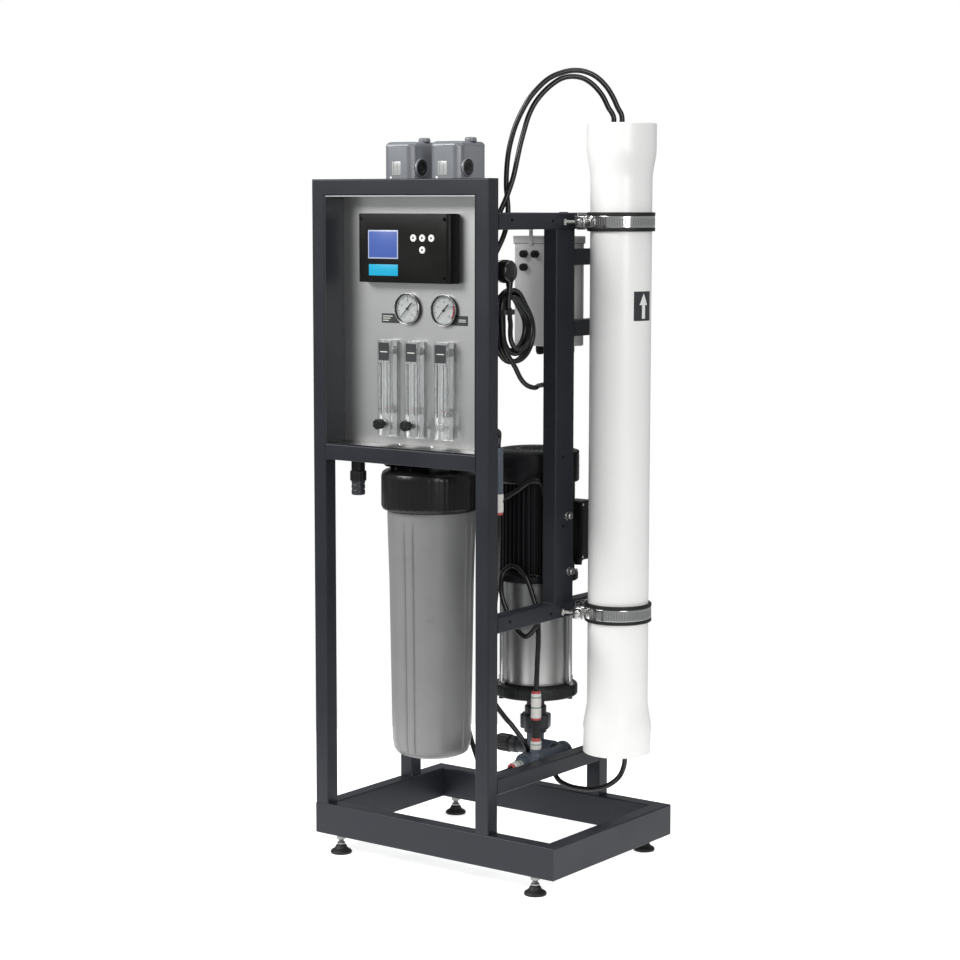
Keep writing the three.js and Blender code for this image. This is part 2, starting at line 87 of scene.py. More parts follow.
def noise(nt, vector, scale, detail=3.0, rough=0.55):
    n = nt.nodes.new("ShaderNodeTexNoise")
    n.inputs["Scale"].default_value = scale
    n.inputs["Detail"].default_value = detail
    n.inputs["Roughness"].default_value = rough
    nt.links.new(vector, n.inputs["Vector"])
    return n.outputs["Fac"]


def stretched(nt, vector, sx, sy, sz):
    m = nt.nodes.new("ShaderNodeMapping")
    m.inputs["Scale"].default_value = (sx, sy, sz)
    nt.links.new(vector, m.inputs["Vector"])
    return m.outputs[0]


def grey(v):
    return (v, v, v, 1)


def surface(name, color, rough, metal=0.0, vary=0.06, cloud=14.0, grain=700.0, bump=0.12, depth=0.00015, spread=0.08,
            brushed=None, coat=0.0, spec=0.5, emit=0.0, sheen=0.0):
    """A procedural finish: colour and roughness drift over the surface at two scales, with a fine relief."""
    m = bpy.data.materials.new(name)
    m.use_nodes = True
    nt = m.node_tree
    p = nt.nodes["Principled BSDF"]
    tc = nt.nodes.new("ShaderNodeTexCoord").outputs["Object"]
    fine_vector = stretched(nt, tc, *brushed) if brushed else tc
    large = noise(nt, tc, cloud, 4)
    fine = noise(nt, fine_vector, grain, 2)
    c = Vector(color)
    dark, light = c * (1 - vary), c * (1 + vary)
    both = nt.nodes.new("ShaderNodeMath")
    both.operation = "MULTIPLY_ADD"
    nt.links.new(fine, both.inputs[0])
    both.inputs[1].default_value = 0.35
    nt.links.new(large, both.inputs[2])
    tone = ramp(nt, both.outputs[0], [(0.38, (*dark, 1)), (0.98, (*[min(1, v) for v in light], 1))])
    nt.links.new(tone, p.inputs["Base Color"])
    rr = nt.nodes.new("ShaderNodeMapRange")
    rr.inputs["From Min"].default_value, rr.inputs["From Max"].default_value = 0.45, 0.95
    rr.inputs["To Min"].default_value = max(0.02, rough - spread)
    rr.inputs["To Max"].default_value = min(1.0, rough + spread)
    nt.links.new(both.outputs[0], rr.inputs["Value"])
    nt.links.new(rr.outputs[0], p.inputs["Roughness"])
    p.inputs["Metallic"].default_value = metal
    p.inputs["Specular IOR Level"].default_value = spec
    if coat:
        p.inputs["Coat Weight"].default_value = coat
        p.inputs["Coat Roughness"].default_value = 0.12
    if emit:
        p.inputs["Emission Color"].default_value = (*color, 1)
        p.inputs["Emission Strength"].default_value = emit
    if bump:
        b = nt.nodes.new("ShaderNodeBump")
        b.inputs["Strength"].default_value = bump
        b.inputs["Distance"].default_value = depth
        nt.links.new(fine, b.inputs["Height"])
        nt.links.new(b.outputs[0], p.inputs["Normal"])
    return m


def clear(name, color=(0.97, 0.985, 0.98), rough=0.02, ior=1.49, through=1.0):
    m = surface(name, color, rough, vary=0.01, bump=0.03, depth=0.00005, spread=0.01, grain=120)
    p = m.node_tree.nodes["Principled BSDF"]
    p.inputs["Transmission Weight"].default_value = through
    p.inputs["IOR"].default_value = ior
    return m


PAINT = surface("frame_powder_coat", (0.0145, 0.0163, 0.0218), 0.42, vary=0.10, spec=0.34, grain=1500, bump=0.30, depth=0.00010, cloud=9, spread=0.06)
TRAY = surface("tray_brushed_steel", (0.70, 0.70, 0.69), 0.25, metal=1, vary=0.05, grain=60, brushed=(0.6, 30, 60), bump=0.05, depth=0.00005, spread=0.06)
STEEL = surface("polished_steel", (0.66, 0.66, 0.65), 0.17, metal=1, vary=0.04, grain=400, bump=0.05, depth=0.00005)
SLEEVE = surface("pump_sleeve_steel", (0.44, 0.44, 0.435), 0.33, metal=1, vary=0.03, cloud=5, grain=70, brushed=(0.6, 0.6, 30), bump=0.02, depth=0.00003, spread=0.02)
ZINC = surface("zinc_plated_steel", (0.62, 0.62, 0.60), 0.28, metal=1, vary=0.10, grain=900, bump=0.15, depth=0.0001, cloud=90)
CTRL = surface("controller_plastic", (0.0045, 0.0041, 0.0036), 0.42, vary=0.12, grain=1800, bump=0.18, depth=0.00006, spec=0.18)
BLACK = surface("black_plastic", (0.0095, 0.0095, 0.010), 0.38, spec=0.32, vary=0.15, grain=1200, bump=0.22, depth=0.00010)
GLOSS = surface("gloss_black_plastic", (0.008, 0.008, 0.0085), 0.20, vary=0.12, grain=600, bump=0.05, depth=0.00006, spec=0.42)
RUBBER = surface("rubber", (0.011, 0.011, 0.0108), 0.55, spec=0.35, vary=0.18, grain=1500, bump=0.35, depth=0.00015)
HOSE = surface("hose_polyethylene", (0.009, 0.009, 0.0095), 0.26, spec=0.40, vary=0.14, grain=500, bump=0.10, depth=0.00008)
CABLE = surface("cable_jacket", (0.008, 0.008, 0.0085), 0.30, spec=0.38, vary=0.16, grain=900, bump=0.2, depth=0.00010)
MOTOR = surface("motor_black_paint", (0.007, 0.007, 0.0085), 0.40, spec=0.28, vary=0.16, grain=1500, bump=0.3, depth=0.00012)
CAST = surface("cast_black_paint", (0.014, 0.015, 0.015), 0.45, spec=0.3, vary=0.18, grain=1100, bump=0.45, depth=0.00020)
SUMP = surface("sump_grey_plastic", (0.205, 0.205, 0.203), 0.34, vary=0.05, grain=900, bump=0.12, depth=0.00010, coat=0.1)
FILTERBLACK = surface("filter_head_plastic", (0.0075, 0.007, 0.0072), 0.30, spec=0.34, vary=0.12, grain=1200, bump=0.25, depth=0.00012)
SWITCH = surface("switch_grey_paint", (0.175, 0.183, 0.20), 0.36, vary=0.06, grain=1000, bump=0.3, depth=0.00012, coat=0.12)
# painted light: the electrical box's grey also glows faintly (emission 0.05), lifting it out of the shade it stands in
BOX_GREY_GLOW = surface("electrical_box_grey_painted_glow", (0.70, 0.70, 0.69), 0.48, emit=0.05, vary=0.04, grain=1400, bump=0.2, depth=0.00010)
VESSEL = surface("vessel_white_coat", (0.89, 0.89, 0.868), 0.38, vary=0.015, grain=240, bump=0.10, depth=0.00025, spread=0.05, coat=0.1)
WHITE = surface("white_fitting", (0.62, 0.60, 0.575), 0.36, vary=0.04, grain=900, bump=0.08, depth=0.00008)
RED = surface("red_collet", (0.42, 0.055, 0.055), 0.38, vary=0.08, grain=900, bump=0.08, depth=0.00008)
GREEN = surface("green_ring", (0.20, 0.27, 0.22), 0.42, vary=0.08, grain=900, bump=0.08, depth=0.00008)
PVC = surface("grey_pvc", (0.068, 0.082, 0.104), 0.38, vary=0.10, grain=700, bump=0.12, depth=0.00010)
UNION = surface("dark_grey_pvc", (0.026, 0.028, 0.033), 0.40, vary=0.12, grain=700, bump=0.15, depth=0.00010)
LABEL = surface("dark_label", (0.030, 0.032, 0.034), 0.45, vary=0.06, grain=600, bump=0.04, depth=0.00004)
PALE = surface("pale_label", (0.62, 0.63, 0.58), 0.42, vary=0.04, grain=600, bump=0.04, depth=0.00004)
PRINT = surface("white_print", (0.80, 0.80, 0.78), 0.45, vary=0.02, grain=600, bump=0.03, depth=0.00003)
SCREEN = surface("screen_blue", (0.048, 0.088, 0.29), 0.40, vary=0.06, grain=300, bump=0.02, depth=0.00003, spec=0.3, emit=0.28)
SCREENFRAME = surface("screen_frame", (0.42, 0.46, 0.60), 0.30, vary=0.04, grain=600, bump=0.04, depth=0.00004)
# painted light: the name plate glows faintly (emission 0.06) though it is no lamp
CYAN = surface("name_plate_painted_glow", (0.012, 0.33, 0.52), 0.34, vary=0.03, grain=500, bump=0.04, depth=0.00004, spec=0.3, emit=0.06)
DIAL = surface("dial_white", (0.84, 0.84, 0.83), 0.50, vary=0.012, grain=500, bump=0.02, depth=0.00003)
INK_AND_SHADE = surface("dial_ink_and_painted_shade", (0.020, 0.020, 0.022), 0.55, vary=0.05, grain=500, bump=0.02, depth=0.00003)
DIALRED = surface("dial_red", (0.62, 0.045, 0.05), 0.5, vary=0.05, grain=500, bump=0.02, depth=0.00003)
FLOATRED = surface("float_red", (0.40, 0.03, 0.03), 0.35, vary=0.06, grain=500, bump=0.04, depth=0.00005)
BRASS = surface("brass", (0.60, 0.44, 0.22), 0.28, metal=1, vary=0.08, grain=600, bump=0.1, depth=0.00008)
PORT = surface("port_grey", (0.16, 0.16, 0.16), 0.3, vary=0.08, grain=600, bump=0.05, depth=0.00005)
SCALE = surface("scale_window", (0.42, 0.43, 0.42), 0.25, vary=0.05, grain=500, bump=0.03, depth=0.00004)
SHADE = surface("edge_shade", (0.07, 0.07, 0.07), 0.4, vary=0.05, grain=500, bump=0.03, depth=0.00004)
# painted shade: a darker copy of the zinc for the feet's studs and nuts, so they don't shine with the bright floor's
# reflection
SHADED_ZINC = surface("zinc_with_painted_shade", (0.30, 0.30, 0.295), 0.36, metal=1, vary=0.10, grain=900, bump=0.15, depth=0.0001)
PLEAT = surface("pleated_paper", (0.78, 0.77, 0.73), 0.8, vary=0.05, grain=900, bump=0.3, depth=0.0003)
DARKHOLE = surface("hole_shadow", (0.006, 0.006, 0.007), 0.8, vary=0.1, grain=500, bump=0.02, depth=0.00003)
# painted highlight: only 84 % of the light passes through the acrylic; the rest is a diffuse white that stands in for
# the white highlights off the bores, and the IOR of 1.36 is chosen for the look
ACRYLIC = clear("clear_acrylic", through=0.84, ior=1.36)
GLASS = clear("gauge_window", rough=0.01, ior=1.45)
def tray_zones(m):
    """The tray's folded sides are given the frame's dark colour and are not metallic, and its floor is darker than its
    back.
    """
    nt = m.node_tree
    p = nt.nodes["Principled BSDF"]
    tc = nt.nodes.new("ShaderNodeTexCoord").outputs["Object"]
    sep = nt.nodes.new("ShaderNodeSeparateXYZ")
    nt.links.new(tc, sep.inputs[0])
    def test(output, op, value):
        n = nt.nodes.new("ShaderNodeMath")
        n.operation = op
        nt.links.new(output, n.inputs[0])
        n.inputs[1].default_value = value
        return n.outputs[0]
    left = test(sep.outputs["X"], "LESS_THAN", (32.25 - 277.5) / 1000)
    right = test(sep.outputs["X"], "GREATER_THAN", (377.8 - 277.5) / 1000)
    both = nt.nodes.new("ShaderNodeMath")
    both.operation = "ADD"
    both.use_clamp = True
    nt.links.new(left, both.inputs[0])
    nt.links.new(right, both.inputs[1])
    sides = both.outputs[0]
    low = test(sep.outputs["Z"], "LESS_THAN", (755.3 + 35) / 1000)
    was = p.inputs["Base Color"].links[0].from_socket
    # the floor zone is darker than the back
    darker_floor = nt.nodes.new("ShaderNodeMix")
    darker_floor.data_type = "RGBA"
    nt.links.new(low, darker_floor.inputs["Factor"])
    nt.links.new(was, darker_floor.inputs[6])
    darker_floor.inputs[7].default_value = (0.085, 0.085, 0.083, 1)
    # the folded sides take the frame's dark colour
    dark_sides = nt.nodes.new("ShaderNodeMix")
    dark_sides.data_type = "RGBA"
    nt.links.new(sides, dark_sides.inputs["Factor"])
    nt.links.new(darker_floor.outputs[2], dark_sides.inputs[6])
    dark_sides.inputs[7].default_value = (0.016, 0.0175, 0.022, 1)
    nt.links.new(dark_sides.outputs[2], p.inputs["Base Color"])
    metal = nt.nodes.new("ShaderNodeMath")
    metal.operation = "SUBTRACT"
    metal.inputs[0].default_value = 1.0
    nt.links.new(sides, metal.inputs[1])
    nt.links.new(metal.outputs[0], p.inputs["Metallic"])
    rough = nt.nodes.new("ShaderNodeMapRange")
    nt.links.new(sides, rough.inputs["Value"])
    rough.inputs["To Min"].default_value, rough.inputs["To Max"].default_value = 0.34, 0.42
    nt.links.new(rough.outputs[0], p.inputs["Roughness"])


tray_zones(TRAY)
FLOOR = surface("pale_floor", (0.86, 0.86, 0.86), 0.85, vary=0.004, cloud=3, grain=200, bump=0.0, spec=0.1, emit=0.82)


# ------------------------------------------------------------------ mesh kit
AXES = {
    "+z": Matrix.Identity(4),
    "-z": Matrix.Rotation(math.pi, 4, "X"),
    "+x": Matrix.Rotation(math.pi / 2, 4, "Y"),
    "-x": Matrix.Rotation(-math.pi / 2, 4, "Y"),
    "+y": Matrix.Rotation(-math.pi / 2, 4, "X"),
    "-y": Matrix.Rotation(math.pi / 2, 4, "X"),
}


def at(x, y, z, axis="+z", turn=0.0):
    """Puts a shape made along +z at a point, along an axis, turned about its own length (degrees)."""
    return Matrix.Translation((x, y, z)) @ AXES[axis] @ Matrix.Rotation(math.radians(turn), 4, "Z")


def toward(a, b):
    a, b = Vector(a), Vector(b)
    return Matrix.Translation(a) @ Vector((0, 0, 1)).rotation_difference(b - a).to_matrix().to_4x4()


def lathe(profile, seg=64, fn=None, closed=False):
    """profile is [(r, z)]. fn(angle, r, z) may change the radius. A radius of 0 closes to a point."""
    bm = bmesh.new()
    rings = []
    for r, z in profile:
        if r <= 1e-9:
            rings.append([bm.verts.new((0, 0, z))])
            continue
        ring = []
        for i in range(seg):
            a = 2 * math.pi * i / seg
            q = fn(a, r, z) if fn else r
            ring.append(bm.verts.new((q * math.cos(a), q * math.sin(a), z)))
        rings.append(ring)
    pairs = list(zip(rings, rings[1:]))
    if closed:
        pairs.append((rings[-1], rings[0]))
    for a, b in pairs:
        if len(a) == 1 and len(b) == 1:
            continue
        for i in range(seg):
            j = (i + 1) % seg
            if len(a) == 1:
                bm.faces.new((a[0], b[j], b[i]))
            elif len(b) == 1:
                bm.faces.new((a[i], a[j], b[0]))
            else:
                bm.faces.new((a[i], a[j], b[j], b[i]))
    bmesh.ops.recalc_face_normals(bm, faces=bm.faces)
    return bm


def rounded(profile, radius=1.0, steps=3):
    """The profile with its inner corners rounded, in [(r, z)]."""
    out = [profile[0]]
    for a, b, c in zip(profile, profile[1:], profile[2:]):
        va, vb, vc = Vector(a), Vector(b), Vector(c)
        d1, d2 = va - vb, vc - vb
        if d1.length < 1e-6 or d2.length < 1e-6 or d1.angle(d2) > math.radians(172):
            out.append(b)
            continue
        k = min(radius, d1.length * 0.45, d2.length * 0.45)
        p, q = vb + d1.normalized() * k, vb + d2.normalized() * k
        for i in range(steps + 1):
            t = i / steps
            v = p * (1 - t) ** 2 + vb * 2 * t * (1 - t) + q * t * t
            out.append((v.x, v.y))
    out.append(profile[-1])
    return out


def block(x0, x1, y0, y1, z0, z1, r=1.5, seg=3, edges=None):
    bm = bmesh.new()
    bmesh.ops.create_cube(bm, size=1)
    bmesh.ops.scale(bm, vec=(x1 - x0, y1 - y0, z1 - z0), verts=bm.verts)
    bmesh.ops.translate(bm, vec=((x0 + x1) / 2, (y0 + y1) / 2, (z0 + z1) / 2), verts=bm.verts)
    if r > 0:
        chosen = [e for e in bm.edges if edges is None or edges((e.verts[0].co - e.verts[1].co).normalized(), (e.verts[0].co + e.verts[1].co) / 2)]
        bmesh.ops.bevel(bm, geom=chosen, offset=r, segments=seg, profile=0.5, affect="EDGES", clamp_overlap=True)
    return bm


def prism(outline, z0, z1, r=0.0, seg=2, upright=0.0):
    """A 2-D outline [(x, y)] extruded from z0 to z1, its end rims rounded by r."""
    bm = bmesh.new()
    low = [bm.verts.new((x, y, z0)) for x, y in outline]
    high = [bm.verts.new((x, y, z1)) for x, y in outline]
    n = len(outline)
    bm.faces.new(low[::-1])
    bm.faces.new(high)
    for i in range(n):
        j = (i + 1) % n
        bm.faces.new((low[i], low[j], high[j], high[i]))
    bmesh.ops.recalc_face_normals(bm, faces=bm.faces)
    if upright:
        es = [e for e in bm.edges if abs(e.verts[0].co.z - e.verts[1].co.z) > 1e-6]
        bmesh.ops.bevel(bm, geom=es, offset=upright, segments=3, profile=0.5, affect="EDGES")
    if r:
        es = [e for e in bm.edges if abs(e.verts[0].co.z - e.verts[1].co.z) < 1e-6 and len(e.link_faces) == 2
              and e.link_faces[0].normal.angle(e.link_faces[1].normal) > math.radians(50)]
        bmesh.ops.bevel(bm, geom=es, offset=r, segments=seg, profile=0.5, affect="EDGES", clamp_overlap=True)
    return bm


def polygon(n, r, turn=0.0):
    return [(r * math.cos(2 * math.pi * i / n + turn), r * math.sin(2 * math.pi * i / n + turn)) for i in range(n)]


def lobed(n, r0, r1, steps=96, power=1.0):
    return [((r0 + (r1 - r0) * abs(math.cos(n * math.pi * i / steps)) ** power) * math.cos(2 * math.pi * i / steps),
             (r0 + (r1 - r0) * abs(math.cos(n * math.pi * i / steps)) ** power) * math.sin(2 * math.pi * i / steps)) for i in range(steps)]


def catmull(points, per=10, closed=False):
    """Centripetal Catmull-Rom through the points."""
    pts = [Vector(p) for p in points]
    if closed:
        pts = [pts[-1]] + pts + pts[:2]
    else:
        pts = [pts[0] * 2 - pts[1]] + pts + [pts[-1] * 2 - pts[-2]]
    out = []
    for a, b, c, d in zip(pts, pts[1:], pts[2:], pts[3:]):
        t0 = 0.0
        t1 = t0 + max((b - a).length, 1e-6) ** 0.5
        t2 = t1 + max((c - b).length, 1e-6) ** 0.5
        t3 = t2 + max((d - c).length, 1e-6) ** 0.5
        for k in range(per):
            t = t1 + (t2 - t1) * k / per
            a1 = a * ((t1 - t) / (t1 - t0)) + b * ((t - t0) / (t1 - t0))
            a2 = b * ((t2 - t) / (t2 - t1)) + c * ((t - t1) / (t2 - t1))
            a3 = c * ((t3 - t) / (t3 - t2)) + d * ((t - t2) / (t3 - t2))
            b1 = a1 * ((t2 - t) / (t2 - t0)) + a2 * ((t - t0) / (t2 - t0))
            b2 = a2 * ((t3 - t) / (t3 - t1)) + a3 * ((t - t1) / (t3 - t1))
            out.append(b1 * ((t2 - t) / (t2 - t1)) + b2 * ((t - t1) / (t2 - t1)))
    if not closed:
        out.append(pts[-2])
    return out


def sweep(points, r, sides=16, closed=False):
    """A round tube along points that are already close together."""
    pts = [Vector(p) for p in points]
    bm = bmesh.new()
    n = len(pts)
    tangents = []
    for i in range(n):
        a = pts[(i - 1) % n] if closed or i > 0 else pts[0]
        b = pts[(i + 1) % n] if closed or i < n - 1 else pts[-1]
        tangents.append((b - a).normalized())
    u = tangents[0].orthogonal().normalized()
    rings = []
    for i in range(n):
        if i:
            u = tangents[i - 1].rotation_difference(tangents[i]) @ u
        u = (u - tangents[i] * u.dot(tangents[i])).normalized()
        v = tangents[i].cross(u)
        q = r(i / (n - 1)) if callable(r) else r
        rings.append([bm.verts.new(pts[i] + (u * math.cos(2 * math.pi * k / sides) + v * math.sin(2 * math.pi * k / sides)) * q) for k in range(sides)])
    count = n if closed else n - 1
    for i in range(count):
        a, b = rings[i], rings[(i + 1) % n]
        shift = 0
        if closed and i == n - 1:
            shift = min(range(sides), key=lambda s: (a[0].co - b[s].co).length)
        for k in range(sides):
            bm.faces.new((a[k], a[(k + 1) % sides], b[(k + 1 + shift) % sides], b[(k + shift) % sides]))
    if not closed:
        bm.faces.new(rings[0][::-1])
        bm.faces.new(rings[-1])
    bmesh.ops.recalc_face_normals(bm, faces=bm.faces)
    return bm


class Piece:
    """Collects shapes in millimetres, then becomes one object in the row frame that rides on a body."""

    def __init__(self, name):
        self.name, self.bm, self.mats = name, bmesh.new(), []

    def put(self, bm, mat, matrix=None):
        if mat not in self.mats:
            self.mats.append(mat)
        index = self.mats.index(mat)
        if matrix is not None:
            bm.transform(matrix)
        for f in bm.faces:
            f.material_index = index
        tmp = bpy.data.meshes.new("tmp")
        bm.to_mesh(tmp)
        bm.free()
        self.bm.from_mesh(tmp)
        bpy.data.meshes.remove(tmp)
        return self

    def make(self, body="skid", replaces=(), angle=32, weighted=False, cutters=(), hole_mat=None):
        me = bpy.data.meshes.new(self.name)
        self.bm.transform(TO_ROW)
        self.bm.to_mesh(me)
        self.bm.free()
        for m in self.mats:
            me.materials.append(m)
        o = bpy.data.objects.new(self.name, me)
        scene.collection.objects.link(o)
        if cutters:
            o = bored(o, cutters, hole_mat)
            me = o.data
        me.shade_smooth()
        me.set_sharp_from_angle(angle=math.radians(angle))
        if weighted:
            wn = o.modifiers.new("weighted", "WEIGHTED_NORMAL")
            wn.keep_sharp = True
        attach(o, body)
        if replaces:
            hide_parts(*replaces)
        return o


def bored(o, cutters, hole_mat=None):
    """Cuts the shapes (in millimetres) out of o, with the exact solver, and keeps the result as a plain mesh."""
    bm = bmesh.new()
    for c in cutters:
        tmp = bpy.data.meshes.new("tmp")
        c.to_mesh(tmp)
        c.free()
        bm.from_mesh(tmp)
        bpy.data.meshes.remove(tmp)
    bm.transform(TO_ROW)
    cm = bpy.data.meshes.new("cutter")
    bm.to_mesh(cm)
    bm.free()
    if hole_mat:
        cm.materials.append(hole_mat)
    co = bpy.data.objects.new("cutter", cm)
    scene.collection.objects.link(co)
    mod = o.modifiers.new("bore", "BOOLEAN")
    mod.operation, mod.solver, mod.object = "DIFFERENCE", "EXACT", co
    if hasattr(mod, "material_mode"):
        mod.material_mode = "TRANSFER"
    bpy.context.view_layer.update()
    done = bpy.data.meshes.new_from_object(o.evaluated_get(bpy.context.evaluated_depsgraph_get()))
    o.modifiers.clear()
    old = o.data
    done.name = o.name
    o.data = done
    bpy.data.meshes.remove(old)
    bpy.data.objects.remove(co)
    return o


def hexhead(piece, x, y, z, axis, across=13.0, high=6.0, washer=True, mat=None):
    """A hex bolt head with a washer, standing on a surface at the point, along the axis."""
    mat = mat or ZINC
    base = 0.0
    if washer:
        piece.put(lathe(rounded([(0, 0), (across * 0.62, 0), (across * 0.62, 1.4), (0, 1.4)], 0.3), 32), mat, at(x, y, z, axis))
        base = 1.3
    piece.put(prism(polygon(6, across / math.sqrt(3)), base, base + high, 0.9, 2), mat, at(x, y, z, axis))
    piece.put(lathe(rounded([(0, base + high), (across * 0.40, base + high), (across * 0.36, base + high + 0.5), (0, base + high + 0.5)], 0.2), 24), mat, at(x, y, z, axis))


def screw(piece, x, y, z, axis, r=3.5, mat=None):
    """A round-headed screw with a hex socket."""
    mat = mat or ZINC
    piece.put(lathe([(0, -0.2), (r, -0.2), (r, r * 0.25), (r * 0.8, r * 0.62), (r * 0.45, r * 0.8), (r * 0.42, r * 0.4), (0, r * 0.4)], 24), mat, at(x, y, z, axis))


# ------------------------------------------------------------------ cords
def cord_curve(name, points, r, mat, per=6):
    c = bpy.data.curves.new(name, "CURVE")
    c.dimensions = "3D"
    c.bevel_depth = r / 1000
    c.bevel_resolution = 6
    c.use_fill_caps = True
    line = catmull(points, per)
    s = c.splines.new("POLY")
    s.points.add(len(line) - 1)
    for p, v in zip(s.points, line):
        w = W(*v)
        p.co = (w.x, w.y, w.z, 1)
    s.use_smooth = True
    c.materials.append(mat)
    o = bpy.data.objects.new(name, c)
    scene.collection.objects.link(o)
    total = sum((b - a).length for a, b in zip(line, line[1:])) / 1000
    return o, total


HOSE_R, CABLE_R = 4.8, 4.5
outer = [[489, 304, 1345.9], [489, 304, 1357], [487.4, 302.7, 1365], [483.3, 299.3, 1374], [476.1, 293.3, 1394], [466.3, 285.2, 1413.6], [452.1, 273.4, 1431], [436, 259.6, 1440.5], [420.2, 246, 1442.4], [404.2, 232.4, 1438.4], [386.6, 217.8, 1428.4], [370.9, 204.8, 1410.8], [358.5, 194.6, 1391.7], [347.1, 185.6, 1366.9], [338.1, 179.7, 1343], [331.9, 176.4, 1321], [327.3, 174, 1298.9], [324.1, 173.2, 1276.2], [322.3, 173.2, 1253.5], [321.6, 173.8, 1230.7], [323.1, 175, 1209], [324.3, 175.6, 1188], [322, 170, 1150], [311, 148, 1100], [297, 120, 1040], [286, 95, 985], [280.5, 78, 953], [278.5, 68, 941], [278, 58, 938]]
inner = [[471, 304, 1345.9], [471, 304, 1357], [468.6, 301.8, 1365.5], [464, 297.6, 1374.6], [455.2, 289.7, 1397.2], [442.2, 278.4, 1417], [427.6, 266, 1429], [412.2, 252.6, 1432], [398.5, 240.4, 1428.5], [384.9, 228, 1417.2], [371.3, 215.7, 1400.1], [361.1, 206.5, 1382], [353.3, 199, 1360], [348.3, 191.9, 1333], [344.1, 185.5, 1305.7], [340.7, 180.4, 1278.5], [336.9, 175, 1250], [332.3, 169.6, 1228], [326.7, 163.8, 1207], [314, 152, 1170], [296, 132, 1120], [264, 108, 1045], [231, 86, 975], [214.5, 73, 946], [210.6, 65.5, 939], [210, 58, 938]]
for name, route in (("hose_top_outer", outer), ("hose_top_inner", inner)):
    o, long = cord_curve(name + "_tube", route, HOSE_R, HOSE)
    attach(o, "skid")
    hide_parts(name)

# mains lead: gland, stretch, hank of belt-shaped turns, plug
lead = [[352, 340, 913.4], [352, 340, 907], [352, 338, 900], [352, 328, 887], [353, 306, 875], [358, 272, 867], [365, 236, 865], [371, 212, 865], [380, 192, 865], [391, 174, 865], [400, 154, 866], [403.5, 136, 869], [405, 118, 875.5], [405, 105, 885.5], [404.5, 97, 895.5]]


def belt(low, top, u):
    """A point [y, z] at share u of the way round a belt on two circles (y, z, r), from the bottom, clockwise seen from the right."""
    d = math.hypot(top[0] - low[0], top[1] - low[1])
    lean = math.atan2(top[1] - low[1], top[0] - low[0])
    half = math.acos((low[2] - top[2]) / d)
    start = -math.pi / 2
    # clockwise: angles fall; low arc from start down to lean+half-2pi, straight, top arc, straight, low arc
    a_leave = lean + half - 2 * math.pi
    a_meet = lean - half
    arcs = [(low, start, a_leave), (top, lean + half, lean - half), (low, a_meet, start)]
    straight = math.sqrt(d * d - (low[2] - top[2]) ** 2)
    lens = [low[2] * (start - a_leave), straight, top[2] * 2 * half, straight, low[2] * (a_meet - start)]
    s = u * sum(lens)
    pieces = [("arc", arcs[0]), ("line", (arcs[0], arcs[1])), ("arc", arcs[1]), ("line", (arcs[1], arcs[2])), ("arc", arcs[2])]
    for long, (kind, what) in zip(lens, pieces):
        if s <= long or what is arcs[2]:
            if kind == "arc":
                c, a0, a1 = what
                a = a0 + (a1 - a0) * (s / long if long else 0)
                return c[0] + c[2] * math.cos(a), c[1] + c[2] * math.sin(a)
            (c0, _, e0), (c1, b1, _) = what
            p = (c0[0] + c0[2] * math.cos(e0), c0[1] + c0[2] * math.sin(e0))
            q = (c1[0] + c1[2] * math.cos(b1), c1[1] + c1[2] * math.sin(b1))
            t = s / long
            return p[0] + (q[0] - p[0]) * t, p[1] + (q[1] - p[1]) * t
        s -= long
    return 0, 0


# each turn: x at its start, low circle, top circle; the last row closes the last turn
TURNS = [
    (405.2, (103, 967, 52.3), (86, 1009, 37.4)),
    (395.8, (102, 968, 51.0), (86, 1008, 37.0)),
    (386.4, (103, 967, 52.0), (86.5, 1008, 37.4)),
    (387.0, (101, 976, 39.5), (86, 1006, 28.0)),
    (396.2, (101.5, 972, 41.3), (86, 1006, 27.8)),
    (405.6, (100.5, 977, 38.5), (86, 1006, 27.8)),
]
hank = []
PER = 22
for k in range(len(TURNS) - 1):
    (x0, l0, t0), (x1, l1, t1) = TURNS[k], TURNS[k + 1]
    for i in range(PER):
        u = i / PER
        if k == 0 and u < 0.11:
            continue
        w = u * u * (3 - 2 * u)
        low = tuple(a + (b - a) * w for a, b in zip(l0, l1))
        top = tuple(a + (b - a) * w for a, b in zip(t0, t1))
        y, z = belt(low, top, u)
        hank.append([x0 + (x1 - x0) * (w if k == 2 else u), y, z])
# the last strand leaves the inner turns on the outside and climbs to the plug
x0, low, top = TURNS[-1]
for u in (0.0, 0.05, 0.1, 0.15, 0.2, 0.25, 0.3, 0.35):
    y, z = belt(low, top, u)
    hank.append([x0 + 9.4 * min(1, u / 0.25) ** 1.2, y - 3.0 * (u / 0.35) ** 2, z])
hank += [[414.8, 53.2, 1012], [414.4, 53.4, 1022], [413.4, 55.2, 1033], [412.2, 58.2, 1042], [411.6, 59.8, 1049.5]]
mains, mains_long = cord_curve("mains_lead", lead + [[404.6, 88, 907]] + hank, CABLE_R, CABLE, per=4)
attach(mains, "skid")
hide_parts("mains_cable", "cable_hank")
